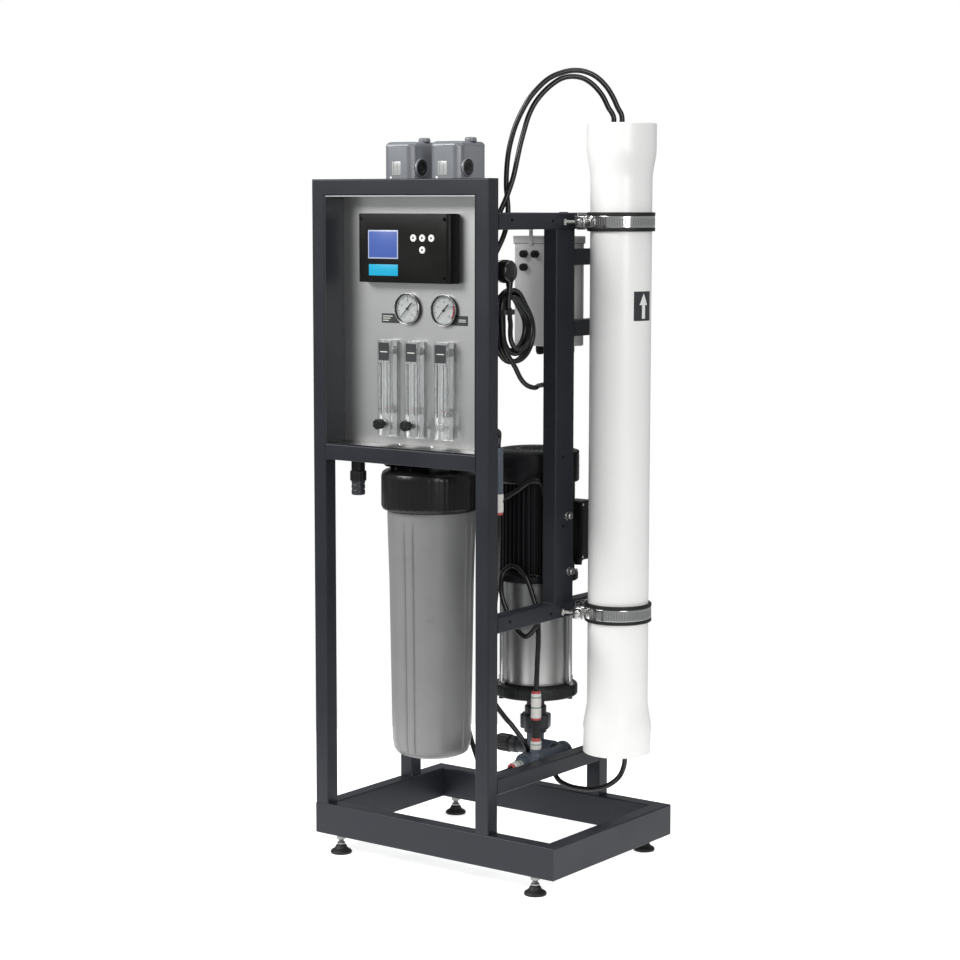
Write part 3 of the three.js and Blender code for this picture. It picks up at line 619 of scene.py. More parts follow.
# plug: moulded round body with a finger ring, two pins, ribbed strain relief
p = Piece("mains_plug_body")
plug = at(388, 60, 1080, "+x")
p.put(lathe(rounded([(0, -0.5), (16.8, -0.5), (17.4, 2), (18.6, 6), (20.8, 9), (21, 14), (20.4, 20), (19.6, 26), (17, 29.0), (0, 29.6)], 1.2), 48), GLOSS, plug)
p.put(lathe([(19.0, 1.0), (19.6, 0.4), (19.6, 2.6), (19.0, 3.0)], 48, closed=True), RUBBER, plug)
for k in range(10):
    a = 2 * math.pi * k / 10 + 0.2
    p.put(block(-1.1, 1.1, -0.8, 0.8, 9.5, 24, 0.6, 2), GLOSS, plug @ Matrix.Rotation(a, 4, "Z") @ Matrix.Translation((20.3, 0, 0)))
for z in (1070.5, 1089.5):
    p.put(lathe(rounded([(0, -18), (1.6, -18), (2.4, -16.5), (2.4, 0), (0, 0)], 0.5), 20), STEEL, at(388, 60, z, "+x"))
relief = [(0, -1)] + [q for k in range(6) for q in ((5.6 + k * 0.35, k * 2.4), (5.6 + k * 0.35, k * 2.4 + 1.5), (4.9 + k * 0.3, k * 2.4 + 1.7), (4.9 + k * 0.3, k * 2.4 + 2.3))] + [(8.2, 14.4), (9, 20), (0, 20)]
p.put(lathe(relief, 28), GLOSS, at(411.6, 60, 1049.2))
plug_obj = p.make("skid", ("mains_plug",))
# the hank's strap and its mount on the back of the post
p = Piece("hank_strap")
p.put(block(381, 409, 30.1, 33.5, 995, 1021, 1.2, 3), BLACK)
strap = []
for y, x in ((34, 384), (33.6, 400), (35, 413), (40, 419.6), (52, 421.6), (63, 420), (68, 413), (68.6, 400), (68, 385), (62, 380.3), (48, 380.2), (38, 381)):
    strap.append((x, y))
ring = catmull([(x, y, 0) for x, y in strap], 6, closed=True)
bm = bmesh.new()
n = len(ring)
centre = sum(ring, Vector()) / n
outs = [(v - centre).normalized() for v in ring]
loops = []
for dz, dr in ((-4.5, 0), (-4.5, 1.1), (4.5, 1.1), (4.5, 0)):
    loops.append([bm.verts.new((v.x + o.x * dr, v.y + o.y * dr, 1008 + dz)) for v, o in zip(ring, outs)])
for a, b in zip(loops, loops[1:] + loops[:1]):
    for i in range(n):
        bm.faces.new((a[i], a[(i + 1) % n], b[(i + 1) % n], b[i]))
bmesh.ops.recalc_face_normals(bm, faces=bm.faces)
p.put(bm, BLACK)
p.make("skid")

# ------------------------------------------------------------------ stage: floor, world and soft lights
bm = bmesh.new()
bmesh.ops.create_circle(bm, cap_ends=True, segments=96, radius=1.1)
me = bpy.data.meshes.new("floor")
bm.to_mesh(me)
bm.free()
me.materials.append(FLOOR)
floor = bpy.data.objects.new("floor", me)
scene.collection.objects.link(floor)

world = bpy.data.worlds.new("studio")
scene.world = world
world.use_nodes = True
wt = world.node_tree
back = wt.nodes["Background"]
back.inputs[0].default_value, back.inputs[1].default_value = (0.96, 0.98, 1.0, 1), 0.35
seen = wt.nodes.new("ShaderNodeBackground")
seen.inputs[0].default_value, seen.inputs[1].default_value = (1, 1, 1, 1), 1.0
path = wt.nodes.new("ShaderNodeLightPath")
mix = wt.nodes.new("ShaderNodeMixShader")
wt.links.new(path.outputs["Is Camera Ray"], mix.inputs[0])
wt.links.new(back.outputs[0], mix.inputs[1])
wt.links.new(seen.outputs[0], mix.inputs[2])
wt.links.new(mix.outputs[0], wt.nodes["World Output"].inputs[0])


def softbox(name, where, target, size, power, color=(1, 1, 1)):
    light = bpy.data.lights.new(name, "AREA")
    light.shape, light.size, light.size_y, light.energy, light.color = "RECTANGLE", size[0], size[1], power, color
    o = bpy.data.objects.new(name, light)
    scene.collection.objects.link(o)
    o.location = where
    o.rotation_mode = "QUATERNION"
    o.rotation_quaternion = (Vector(target) - Vector(where)).to_track_quat("-Z", "Y")
    return o


softbox("key", (-1.9, -2.8, 3.0), (0, 0, 0.75), (1.8, 1.8), 152)
softbox("fill", (3.1, -2.1, 2.0), (0, 0, 0.8), (1.2, 2.4), 62)
softbox("top", (0.3, 0.3, 3.3), (0, 0, 0.8), (2.0, 1.6), 22)

# ------------------------------------------------------------------ frame
def tube(axis, c0, c1, d0, d1, start, end, r=2.6):
    """A square tube along an axis. c0..c1 and d0..d1 are its sides on the two other axes, start and end give its ends
    as functions of those two coordinates, so mitres meet exactly."""
    outline = []
    for cx, cy, a0 in ((c1 - r, d1 - r, 0), (c0 + r, d1 - r, 90), (c0 + r, d0 + r, 180), (c1 - r, d0 + r, 270)):
        for k in range(5):
            a = math.radians(a0 + 22.5 * k)
            outline.append((cx + r * math.cos(a), cy + r * math.sin(a)))
    def vert(s, c, d):
        return {"x": (s, c, d), "y": (c, s, d), "z": (c, d, s)}[axis]
    f0 = start if callable(start) else (lambda c, d: start)
    f1 = end if callable(end) else (lambda c, d: end)
    bm = bmesh.new()
    a = [bm.verts.new(vert(f0(c, d), c, d)) for c, d in outline]
    b = [bm.verts.new(vert(f1(c, d), c, d)) for c, d in outline]
    n = len(outline)
    for i in range(n):
        bm.faces.new((a[i], a[(i + 1) % n], b[(i + 1) % n], b[i]))
    bm.faces.new(a[::-1])
    bm.faces.new(b)
    bmesh.ops.recalc_face_normals(bm, faces=bm.faces)
    return bm


def holed(x, y, z, axis, r, deep):
    bm = lathe([(0, 1.0), (r, 1.0), (r, -deep), (0, -deep)], 28)
    bm.transform(at(x, y, z, axis))
    return bm


side_holes = {
    "post_mid_right": [(410, 234, 732), (410, 235, 602)],
    "bar_lower_right": [(410, 197, 441), (410, 67, 445)],
    "bar_top_right": [(410, 69.5, 1171), (410, 197.5, 1169)],
}
TUBES = [
    ("base_rail_front", "x", (0, 30, 0, 60), lambda y, z: y, lambda y, z: 555 - y),
    ("base_rail_rear", "x", (363, 393, 0, 60), lambda y, z: 393 - y, lambda y, z: 555 - (393 - y)),
    ("base_rail_left", "y", (0, 30, 0, 60), lambda x, z: x, lambda x, z: 393 - x),
    ("base_rail_right", "y", (525, 555, 0, 60), lambda x, z: 555 - x, lambda x, z: 393 - (555 - x)),
    ("post_front_left", "z", (0, 30, 0, 30), 60, lambda x, y: 1245 - x),
    ("post_front_right", "z", (380, 410, 0, 30), 60, lambda x, y: 1245 - (410 - x)),
    ("beam_top_front", "x", (0, 30, 1215, 1245), lambda y, z: 1245 - z, lambda y, z: 410 - (1245 - z)),
    ("beam_mid_front", "x", (0, 30, 723, 753), 30, 380),
    ("bar_top_right", "y", (380, 410, 1154, 1184), 30, lambda x, z: 393 - (1184 - z)),
    ("post_rear_right", "z", (380, 410, 363, 393), 60, lambda x, y: 1184 - (393 - y)),
    ("bar_lower_right", "y", (380, 410, 428, 458), 30, 363),
    ("beam_low_right", "y", (380, 410, 129, 159), 30, 363),
    ("post_mid_right", "z", (380, 410, 210, 270), 458, 1154),
    ("rung_upper", "y", (380, 410, 1087, 1117), 270, 363),
    ("rung_lower", "y", (380, 410, 955, 985), 270, 363),
    ("post_rear_left", "z", (0, 30, 260, 290), 60, lambda x, y: 1184 - x),
    ("beam_cross_top", "x", (260, 290, 1154, 1184), lambda y, z: 1184 - z, 380),
]
for name, axis, (c0, c1, d0, d1), s, e in TUBES:
    p = Piece(name + "_tube")
    p.put(tube(axis, c0, c1, d0, d1, s, e), PAINT)
    cut = [holed(x, y, z, "+x", 3.3, 8) for x, y, z in side_holes.get(name, [])]
    p.make("skid", (name,), angle=40, weighted=True, cutters=cut, hole_mat=DARKHOLE if cut else None)

# weld beads in the inside corners, painted over
p = Piece("frame_weld_beads")
def bead(a, b, r=1.7):
    a, b = Vector(a), Vector(b)
    n = max(6, int((b - a).length / 2.6))
    pts = [a + (b - a) * k / n for k in range(n + 1)]
    p.put(sweep(pts, lambda t: r * (0.86 + 0.14 * abs(math.cos(t * n * math.pi))), 8), PAINT)
for y, z in ((270, 1087), (270, 1117), (270, 955), (270, 985)):
    bead((382, y, z), (408, y, z))
for z in (458, 1154):
    for y in (210, 270):
        bead((382, y, z), (408, y, z))
for z in (428, 458, 129, 159, 1154, 1184):
    bead((382, 30.2, z), (408, 30.2, z), 1.4)
for z in (723, 753):
    for x in (30, 380):
        bead((x, 3, z), (x, 27, z), 1.2)
for x, y in ((0, 0), (380, 0), (380, 363), (0, 260)):
    bead((x + 2, y + 30, 60), (x + 28, y + 30, 60))
    bead((x + (30 if x == 0 else 0), y + 2, 60), (x + (30 if x == 0 else 0), y + 28, 60))
for z in (1154, 1184):
    bead((380, 262, z), (380, 288, z), 1.3)
p.make("skid", angle=60)

# levelling feet: rubber base, stud and nut
for name, x, y in (("front_left", 50, 15), ("front_right", 505, 15), ("rear_left", 50, 378), ("rear_right", 505, 378)):
    p = Piece("foot_" + name + "_pad")
    prof = rounded([(0, -35), (20.4, -35), (20.5, -31), (19.2, -29.4), (12.5, -25.2), (9.8, -19.6), (8.8, -18.6), (0, -18.6)], 1.0, 3)
    p.put(lathe(prof, 56), RUBBER, Matrix.Translation((x, y, 0)))
    thread = [(0, -19.5)]
    z = -19.0
    while z < -0.4:
        thread += [(4.5, z), (5.0, z + 0.45), (4.5, z + 0.9)]
        z += 1.0
    thread += [(0, -0.35)]
    p.put(lathe(thread, 24), SHADED_ZINC, Matrix.Translation((x, y, 0)))
    p.put(prism(polygon(6, 8.6), -17.8, -14.2, 0.6), SHADED_ZINC, at(x, y, 0, turn=15))
    p.put(prism(polygon(6, 9.4), -7.6, -0.5, 0.9), SHADED_ZINC, at(x, y, 0, turn=11))
    p.make("foot_" + name, ("levelling_foot_" + name,))

# ------------------------------------------------------------------ control tray and what is on it
tray = NODES["instrument_panel"]
tray.data.materials.clear()
tray.data.materials.append(TRAY)
bv = tray.modifiers.new("folded edges", "BEVEL")
bv.width, bv.segments, bv.limit_method, bv.angle_limit = 0.0006, 3, "ANGLE", math.radians(50)
bv.harden_normals = True
FACE = 54.0
p = Piece("tray_fasteners")
for x, y in ((172, 47.6), (247, 48)):
    screw(p, x, y, 755.1, "+z", 3.6, STEEL)
p.make("skid")

keys = [(220.7, 1138), (241.4, 1138), (262.1, 1138), (241.4, 1116.6)]
p = Piece("controller_case")
def front_or_z(d, m):
    return abs(d.z) > 0.9
shell = block(87.5, 303.5, 26, 53.7, 1056, 1182, 10, 6, edges=lambda d, m: abs(d.z) > 0.9 and m.y < 40)
bmesh.ops.bevel(shell, geom=[e for e in shell.edges if len(e.link_faces) == 2 and e.link_faces[0].normal.angle(e.link_faces[1].normal) > 1.2], offset=1.6, segments=3, profile=0.5, affect="EDGES", clamp_overlap=True)
p.put(shell, CTRL)
pockets = []
for x, z in keys:
    b = lathe([(0, 2), (6.95, 2), (6.95, -6.9), (0, -6.9)], 36)
    b.transform(at(x, 26, z, "-y"))
    pockets.append(b)
lcd = block(113.2, 185.3, 24, 27.2, 1098.7, 1152.8, 0)
pockets.append(lcd)
p.make("skid", ("controller_housing",), cutters=pockets, hole_mat=CTRL)
p = Piece("controller_front_details")
p.put(block(114, 184.5, 25.7, 27.1, 1099.5, 1152, 0.5, 2), SCREENFRAME)
p.put(block(116.2, 182.3, 25.45, 26.4, 1101.8, 1149.6, 0.4, 2), SCREEN)
p.put(block(116, 184.4, 25.35, 26.2, 1068.5, 1089.3, 0.5, 2), CYAN)
for x in (97, 292):
    for z in (1066, 1172):
        p.put(lathe([(0, 0), (4.1, 0), (4.1, 0.35), (3.2, 0.35), (3.2, 0.05), (0, 0.05)], 28), GLOSS, at(x, 26.05, z, "-y"))
p.put(block(88.6, 302.4, 50.6, 51.4, 1055.7, 1182.25, 0.2, 1), DARKHOLE)
p.make("skid")
for i, (x, z) in enumerate(keys):
    p = Piece(f"key_{i + 1}_cap")
    p.put(lathe(rounded([(0, -4.4), (6.5, -4.4), (6.5, 1.5), (5.9, 1.8), (2.7, 1.85), (2.5, 1.55), (0, 1.55)], 0.3), 40), PRINT, at(x, 26, z, "-y"))
    p.put(lathe(rounded([(0, 1.4), (2.3, 1.4), (2.1, 1.75), (0, 1.8)], 0.15), 24), INK_AND_SHADE, at(x, 26, z, "-y"))
    p.make(f"key_{i + 1}", (f"controller_key_{i + 1}",))


def digits(text, size, x, z, y=49.55):
    """A short number as a thin solid that faces the front, centred at (x, z)."""
    c = bpy.data.curves.new("n", "FONT")
    c.body, c.size, c.align_x, c.align_y, c.extrude = text, size, "CENTER", "CENTER", 0.04
    o = bpy.data.objects.new("n", c)
    scene.collection.objects.link(o)
    bpy.context.view_layer.update()
    me = bpy.data.meshes.new_from_object(o.evaluated_get(bpy.context.evaluated_depsgraph_get()))
    bpy.data.objects.remove(o)
    bpy.data.curves.remove(c)
    bm = bmesh.new()
    bm.from_mesh(me)
    bpy.data.meshes.remove(me)
    bm.transform(Matrix.Translation((x, y, z)) @ Matrix.Rotation(math.pi / 2, 4, "X"))
    return bm


def arc_plate(r0, r1, a0, a1, y, thick=0.12, n=18):
    bm = bmesh.new()
    rows = []
    for k in range(n + 1):
        a = math.radians(a0 + (a1 - a0) * k / n)
        rows.append([bm.verts.new((r * math.cos(a), yy, r * math.sin(a))) for r, yy in ((r0, y), (r1, y), (r1, y - thick), (r0, y - thick))])
    for a, b in zip(rows, rows[1:]):
        for i in range(4):
            bm.faces.new((a[i], a[(i + 1) % 4], b[(i + 1) % 4], b[i]))
    bm.faces.new(rows[0][::-1])
    bm.faces.new(rows[-1])
    bmesh.ops.recalc_face_normals(bm, faces=bm.faces)
    return bm


for i, x, z in ((1, 186.7, 1008), (2, 271.5, 1007)):
    p = Piece(f"gauge_{i}_body")
    m = at(x, FACE, z, "-y")
    # flat cup with a rolled bezel
    p.put(lathe(rounded([(27.7, 5.6), (27.7, 6.6), (28.1, 7.4), (28.8, 7.4), (29.3, 6.7), (29.3, 5.6)], 0.3), 96, closed=True), ZINC, m)
    p.put(lathe([(27.6, 0.3), (27.6, 5.7), (29.2, 5.7), (29.2, 0.3)], 96, closed=True), BLACK, m)
    p.put(lathe([(27.55, 2.6), (27.55, 6.3), (26.2, 5.7), (25.8, 2.6)], 96, closed=True), GLOSS, m)
    p.put(lathe([(0, 0.4), (27.6, 0.4), (27.6, 2.5), (0, 2.5)], 64), DIAL, m)
    for k in range(33):
        a = math.radians(225 - 270 * k / 32)
        big = k % 4 == 0
        r0 = 19.4 if big else 21.2
        t = 0.45 if big else 0.25
        b = block(r0, 23.6, 51.2, 51.45, -t, t, 0)
        b.transform(Matrix.Translation((x, 0, z)) @ Matrix.Rotation(-a, 4, "Y"))
        p.put(b, INK_AND_SHADE)
    for k in range(5):
        a = math.radians(225 - 67.5 * k)
        p.put(digits(str(k * 4), 5.6, x + 15.2 * math.cos(a), z + 15.2 * math.sin(a), 51.25), INK_AND_SHADE)
    p.put(arc_plate(23.7, 24.1, -45, 225, 51.4), INK_AND_SHADE, Matrix.Translation((x, 0, z)))
    if i == 2:
        p.put(arc_plate(20.4, 25.2, -40, 24, 51.42), DIALRED, Matrix.Translation((x, 0, z)))
    p.put(lathe(rounded([(0, 2.2), (1.4, 2.2), (1.4, 2.85), (0, 2.85)], 0.2), 24), BRASS, m)
    # rear stem and nut behind the tray
    p.put(prism(polygon(6, 8.5), -9, -2.2, 0.6), BRASS, m)
    p.put(lathe(rounded([(0, -24), (6.5, -24), (6.5, -9), (0, -9)], 0.8), 28), BLACK, m)
    p.make("skid", (f"gauge_{i}_case",))
    p = Piece(f"gauge_{i}_window")
    p.put(lathe([(0, 6.6), (27.3, 6.6), (27.3, 7.2), (0, 7.35)], 72), GLASS, m)
    p.make("skid")
    p = Piece(f"needle_{i}_pointer")
    blade = [(-1.25, -15.5), (1.25, -15.5), (1.3, -6), (0.95, 0), (0.6, 8), (0.2, 20.8), (-0.2, 20.8), (-0.6, 8), (-0.95, 0), (-1.3, -6)]
    b = prism(blade, 0, 0.7, 0.12, 1)
    b.transform(Matrix.Translation((x, 49.3, z)) @ Matrix.Rotation(-0.75 * math.pi, 4, "Y") @ Matrix.Rotation(math.pi / 2, 4, "X"))
    p.put(b, INK_AND_SHADE)
    p.put(lathe(rounded([(0, 2.95), (2.4, 2.95), (2.5, 5.6), (1.8, 6.3), (0, 6.35)], 0.4), 32), INK_AND_SHADE, m)
    p.make(f"needle_{i}", (f"gauge_{i}_needle",))

p = Piece("gauge_plates")
p.put(block(123.7, 166, 52.9, 53.95, 980.6, 998, 0.3, 1), LABEL)
p.put(block(279, 323, 52.9, 53.95, 980.2, 998, 0.3, 1), LABEL)
for x0, x1, z0 in ((127, 150, 992.4), (127, 145, 988.4), (127, 141, 984.4), (303, 320, 989.8), (303, 320, 986.6)):
    p.put(block(x0, x1, 52.78, 53.1, z0, z0 + 1.5, 0.1, 1), PALE)
p.make("skid")

for i, x, knob in ((1, 146.2, True), (2, 210, True), (3, 278, False)):
    p = Piece(f"rotameter_{i}_block")
    body = block(x - 15.75, x + 15.75, 32, 53.7, 771, 950, 1.0, 3)
    p.put(body, ACRYLIC)
    cuts = [holed(x, 42, 936, "+z", 6.5, 121), holed(x, 53.9, 821, "+y", 4.0, 12), holed(x, 53.9, 930, "+y", 4.0, 12)]
    cuts[0] = lathe([(0, 815), (6.5, 815), (6.5, 936), (0, 936)], 36)
    cuts[0].transform(Matrix.Translation((x, 42, 0)))
    p.make("skid", (f"rotameter_{i}_body",), cutters=cuts, hole_mat=ACRYLIC)
    p = Piece(f"rotameter_{i}_fittings")
    # guide rod and end stops in the bore
    p.put(lathe([(0, 815.2), (0.9, 815.2), (0.9, 935.8), (0, 935.8)], 12), STEEL, Matrix.Translation((x, 42, 0)))
    p.put(lathe([(1.1, 935.0), (6.3, 935.0), (6.3, 935.9), (1.1, 935.9)], 32, closed=True), PORT, Matrix.Translation((x, 42, 0)))
    # threaded port plugs set in the block, and nuts behind the tray
    for z in (821, 930):
        p.put(lathe(rounded([(4.6, -0.2), (7.8, -0.2), (7.8, 5.4), (4.6, 5.4)], 0.4), 28, closed=True), PORT if z > 900 else STEEL, at(x, 53.4, z, "-y"))
        p.put(prism(polygon(6, 9.5), 2.5, 9.0, 0.7), BLACK, at(x, 56.0, z, "+y"))
        p.put(lathe(rounded([(0, 8.8), (7.6, 8.8), (7.6, 19), (0, 19)], 0.8), 28), BLACK, at(x, 56.0, z, "+y"))
    # valve insert in the lower block
    p.put(lathe(rounded([(0, 0.5), (6.4, 0.5), (6.4, 5), (4.2, 6), (4.2, 14), (0, 14)], 0.5), 32), STEEL, at(x, 33.0, 795, "+y"))
    p.put(lathe([(6.8, 2.0), (7.6, 2.0), (7.6, 3.4), (6.8, 3.4)], 32, closed=True), RUBBER, at(x, 33.0, 795, "+y"))
    # label and scale on the front
    p.put(block(x - 13, x + 12.4, 31.55, 31.95, 912, 945, 0.15, 1), LABEL)
    p.put(block(x - 9, x + 8, 31.42, 31.6, 927.2, 929.0, 0.05, 1), PALE)
    for k in range(21):
        z = 822 + k * 4.2
        long = 6.4 if k % 5 == 0 else 3.6
        p.put(block(x - 7.2 - long, x - 7.2, 31.82, 31.97, z - 0.45, z + 0.45, 0), INK_AND_SHADE)
        if k % 5 == 0:
            p.put(block(x + 7.2, x + 7.2 + 4.2, 31.82, 31.97, z - 0.22, z + 0.22, 0), INK_AND_SHADE)
    # painted shade: the dark strips along the block's edges and the dark lines along the bore's edges stand in for the
    # darkness that refraction gives there
    for a, b in ((-15.3, -14.3), (14.2, 15.3)):
        p.put(block(x + a, x + b, 31.84, 31.97, 774, 947, 0), SHADE)
    p.put(block(x - 15.97, x - 15.84, 50.6, 52.2, 774, 947, 0), SHADE)
    p.put(block(x + 15.84, x + 15.97, 50.6, 52.2, 774, 947, 0), SHADE)
    p.put(block(x - 8.0, x - 6.5, 31.82, 31.97, 812, 908, 0), INK_AND_SHADE)
    p.put(block(x + 6.5, x + 7.7, 31.82, 31.97, 812, 908, 0), INK_AND_SHADE)
    for k in range(5):
        p.put(digits(str((k + 1) * 2), 4.2, x + 11.6, 826.5 + k * 20.4, 31.9), INK_AND_SHADE)
    p.make("skid")
    p = Piece(f"float_{i}_cone")
    p.put(lathe(rounded([(1.2, 0.2), (2.2, 0.2), (5.2, 7), (5.2, 10.6), (3.2, 13.6), (1.2, 13.8)], 0.6), 36, closed=True), STEEL if i != 9 else FLOATRED, Matrix.Translation((x, 42, 815.3)))
    p.put(lathe([(5.15, 8.0), (5.32, 8.2), (5.32, 9.6), (5.15, 9.8)], 36, closed=True), FLOATRED, Matrix.Translation((x, 42, 815.3)))
    p.make(f"float_{i}", (f"rotameter_{i}_float",))
    if knob:
        p = Piece(f"valve_knob_{i}_grip")
        m = at(x, 32, 795, "-y")
        p.put(lathe(rounded([(0, 0.4), (4.9, 0.4), (4.9, 11), (0, 11)], 0.4), 32), BLACK, m)
        p.put(prism(lobed(7, 8.6, 10.1, 112), 10.2, 22.9, 1.3, 3), GLOSS, m)
        p.put(lathe(rounded([(0, 22.5), (5.6, 22.5), (5.4, 22.95), (0, 22.98)], 0.2), 32), BLACK, m)
        p.make(f"valve_knob_{i}", (f"rotameter_{i}_knob",), angle=45)

# ------------------------------------------------------------------ pressure switches on their support plate
for i, x0 in ((1, 143.5), (2, 249.5)):
    w, d, h, c = 72, 88, 94, 11
    p = Piece(f"pressure_switch_{i}_case")
    outline = [(c, 0), (w - c, 0), (w, c), (w, d - c), (w - c, d), (c, d), (0, d - c), (0, c)]
    body = bmesh.new()
    low = [body.verts.new((a, b, 0)) for a, b in outline]
    high = [body.verts.new((a, b, h)) for a, b in outline]
    body.faces.new(low[::-1])
    body.faces.new(high)
    for k in range(8):
        body.faces.new((low[k], low[(k + 1) % 8], high[(k + 1) % 8], high[k]))
    bmesh.ops.recalc_face_normals(body, faces=body.faces)
    bmesh.ops.bevel(body, geom=[e for e in body.edges if abs(e.verts[0].co.z - h) < 1e-6 and abs(e.verts[1].co.z - h) < 1e-6], offset=9.5, segments=7, profile=0.5, affect="EDGES", clamp_overlap=True)
    bmesh.ops.bevel(body, geom=[e for e in body.edges if abs(e.verts[0].co.z - e.verts[1].co.z) > 30], offset=5.0, segments=4, profile=0.5, affect="EDGES", clamp_overlap=True)
    p.put(body, SWITCH, Matrix.Translation((x0, 31, 1218)))
    # seam between the base and the cover
    p.put(prism([(a + (0.25 if a > 30 else -0.25), b + (0.25 if b > 40 else -0.25)) for a, b in outline], 0, 0.8), UNION, Matrix.Translation((x0, 31, 1224.5)))
    p.put(lathe(rounded([(0, 0), (11, 0), (10.8, 5.5), (8.6, 7.9), (0, 7.9)], 1.2), 40), SWITCH, Matrix.Translation((x0 + 60, 81, 1311.8)))
    # cable gland hole on the right
    m = at(x0 + w, 54, 1265, "+x")
    p.put(lathe(rounded([(14.8, -0.5), (17.0, -0.5), (16.8, 2.6), (16.0, 3.9), (15.0, 3.9), (14.8, 3.0)], 0.5), 56, closed=True), SWITCH, m)
    p.put(lathe(rounded([(0, 0.3), (14.9, 0.3), (14.9, 2.6), (12.2, 3.4), (9.0, 3.4), (8.0, 1.6), (0, 1.4)], 0.4), 48), BLACK, m)
    p.put(lathe([(0, 1.3), (5.6, 1.3), (5.6, 2.6), (0, 2.8)], 32), DARKHOLE, m)
    # window with its scale on the front
    wx = 167.1 + (x0 - 143.5)
    p.put(block(wx, wx + 20.9, 30.3, 31.6, 1251.6, 1276.4, 0.5, 2), SCALE)
    p.put(block(wx + 3, wx + 4.2, 30.1, 30.5, 1254, 1274, 0.1, 1), PORT)
    p.put(block(wx + 12, wx + 13.0, 30.1, 30.5, 1254, 1274, 0.1, 1), PORT)
    for k in range(7):
        p.put(block(wx + 6.2, wx + 9, 30.1, 30.5, 1255 + k * 3, 1255.5 + k * 3, 0), PORT)
    p.put(lathe(rounded([(0, 0), (2.6, 0), (2.3, 0.8), (0, 0.9)], 0.2), 24), PRINT, at(x0 + 21.2, 31, 1247, "-y"))
    # pressure port below
    p.put(prism(polygon(6, 12), -12, 0.2, 0.8), BRASS, Matrix.Translation((x0 + 38, 77, 1218)))
    p.put(lathe(rounded([(0, -33.8), (5.5, -33.8), (7.8, -30), (7.8, -12), (0, -12)], 0.8), 28), BRASS, Matrix.Translation((x0 + 38, 77, 1218)))
    p.make("skid", (f"pressure_switch_{i}",), angle=28)
p = Piece("switch_support_plate")
p.put(block(136, 330, 30.4, 118, 1215.4, 1217.7, 0.5, 2), PAINT)
for x in (160, 200, 266, 306):
    hexhead(p, x, 104, 1217.6, "+z", 8, 3.6, False)
p.make("skid")

# ------------------------------------------------------------------ prefilter
FX, FY = 205, 99
base = Matrix.Translation((FX, FY, 0))
p = Piece("filter_head_body")
def flutes(a, r, z):
    if r < 93 or z > 698 or z < 640:
        return r
    return r - 0.4 * (0.5 + 0.5 * math.cos(40 * a)) ** 4
prof = rounded([(0, 700), (81, 700), (81, 634.2), (90.5, 634.2), (92.4, 636.5), (94.4, 641), (94.4, 696), (92.5, 703), (88, 706.5), (74, 711.5), (67, 720), (66, 737.8), (0, 737.8)], 1.6, 3)
p.put(lathe(prof, 480, flutes), FILTERBLACK, base)
# ribs on the dome
for k in range(12):
    b = block(60, 78, -1.4, 1.4, 706, 716, 0.8, 2)
    b.transform(Matrix.Rotation(math.pi * k / 6 + 0.13, 4, "Z"))
    p.put(b, FILTERBLACK, base)
# inlet side: spigot, elbow, union and hose tail
m = at(145, 45, 727, "-x")
p.put(lathe(rounded([(0, -8), (14, -8), (14, 2), (11.5, 4), (9.2, 6), (9.2, 60), (10.8, 62), (10.8, 73), (0, 73)], 0.8), 36), BLACK, m)
m = Matrix.Translation((72, 45, 0))
p.put(lathe(rounded([(0, 699), (12.6, 699), (13.0, 703), (13.0, 732), (11, 735.7), (0, 735.9)], 1.4), 36), BLACK, m)
def grip(a, r, z):
    return r - (0.9 * (0.5 + 0.5 * math.cos(14 * a)) ** 2 if r > 15 else 0)
p.put(lathe(rounded([(0, 681.5), (14.6, 681.5), (15.5, 683), (15.5, 699), (14.4, 700.8), (0, 700.8)], 0.6), 224, grip), BLACK, m)
p.put(lathe(rounded([(0, 655), (11.4, 655), (12.9, 657), (12.9, 664), (11.6, 665.5), (12.9, 667), (12.9, 674), (11.6, 675.5), (12.9, 677), (12.9, 681.6), (0, 681.6)], 0.6), 36), UNION, m)
p.put(lathe([(0, 654.8), (9.6, 654.8), (9.6, 656.4), (0, 656.4)], 30), DARKHOLE, m)
# outlet side: stub and elbow to the hose behind
m = at(190, 149, 713, "+y")
p.put(lathe(rounded([(0, -8), (13.5, -8), (13.5, 3), (10, 5), (8.2, 7), (8.2, 60), (12.4, 62), (12.4, 75), (0, 75)], 0.8), 36), BLACK, m)
p.make("skid", ("filter_head",))
# carrying bracket: a flange on the back of the middle beam with an arm each side of the head
p = Piece("filter_bracket")
p.put(block(118, 292, 30.3, 33.0, 739, 752.6, 0.6, 2), ZINC)
p.put(block(118, 292, 30.3, 150, 738.3, 741.4, 0.6, 2), ZINC)
for x in (128, 282):
    hexhead(p, x, 33.0, 746.5, "+y", 8, 3.6, False)
for x in (165, 245):
    hexhead(p, x, 84, 741.3, "+z", 11, 5, True)
p.make("skid")

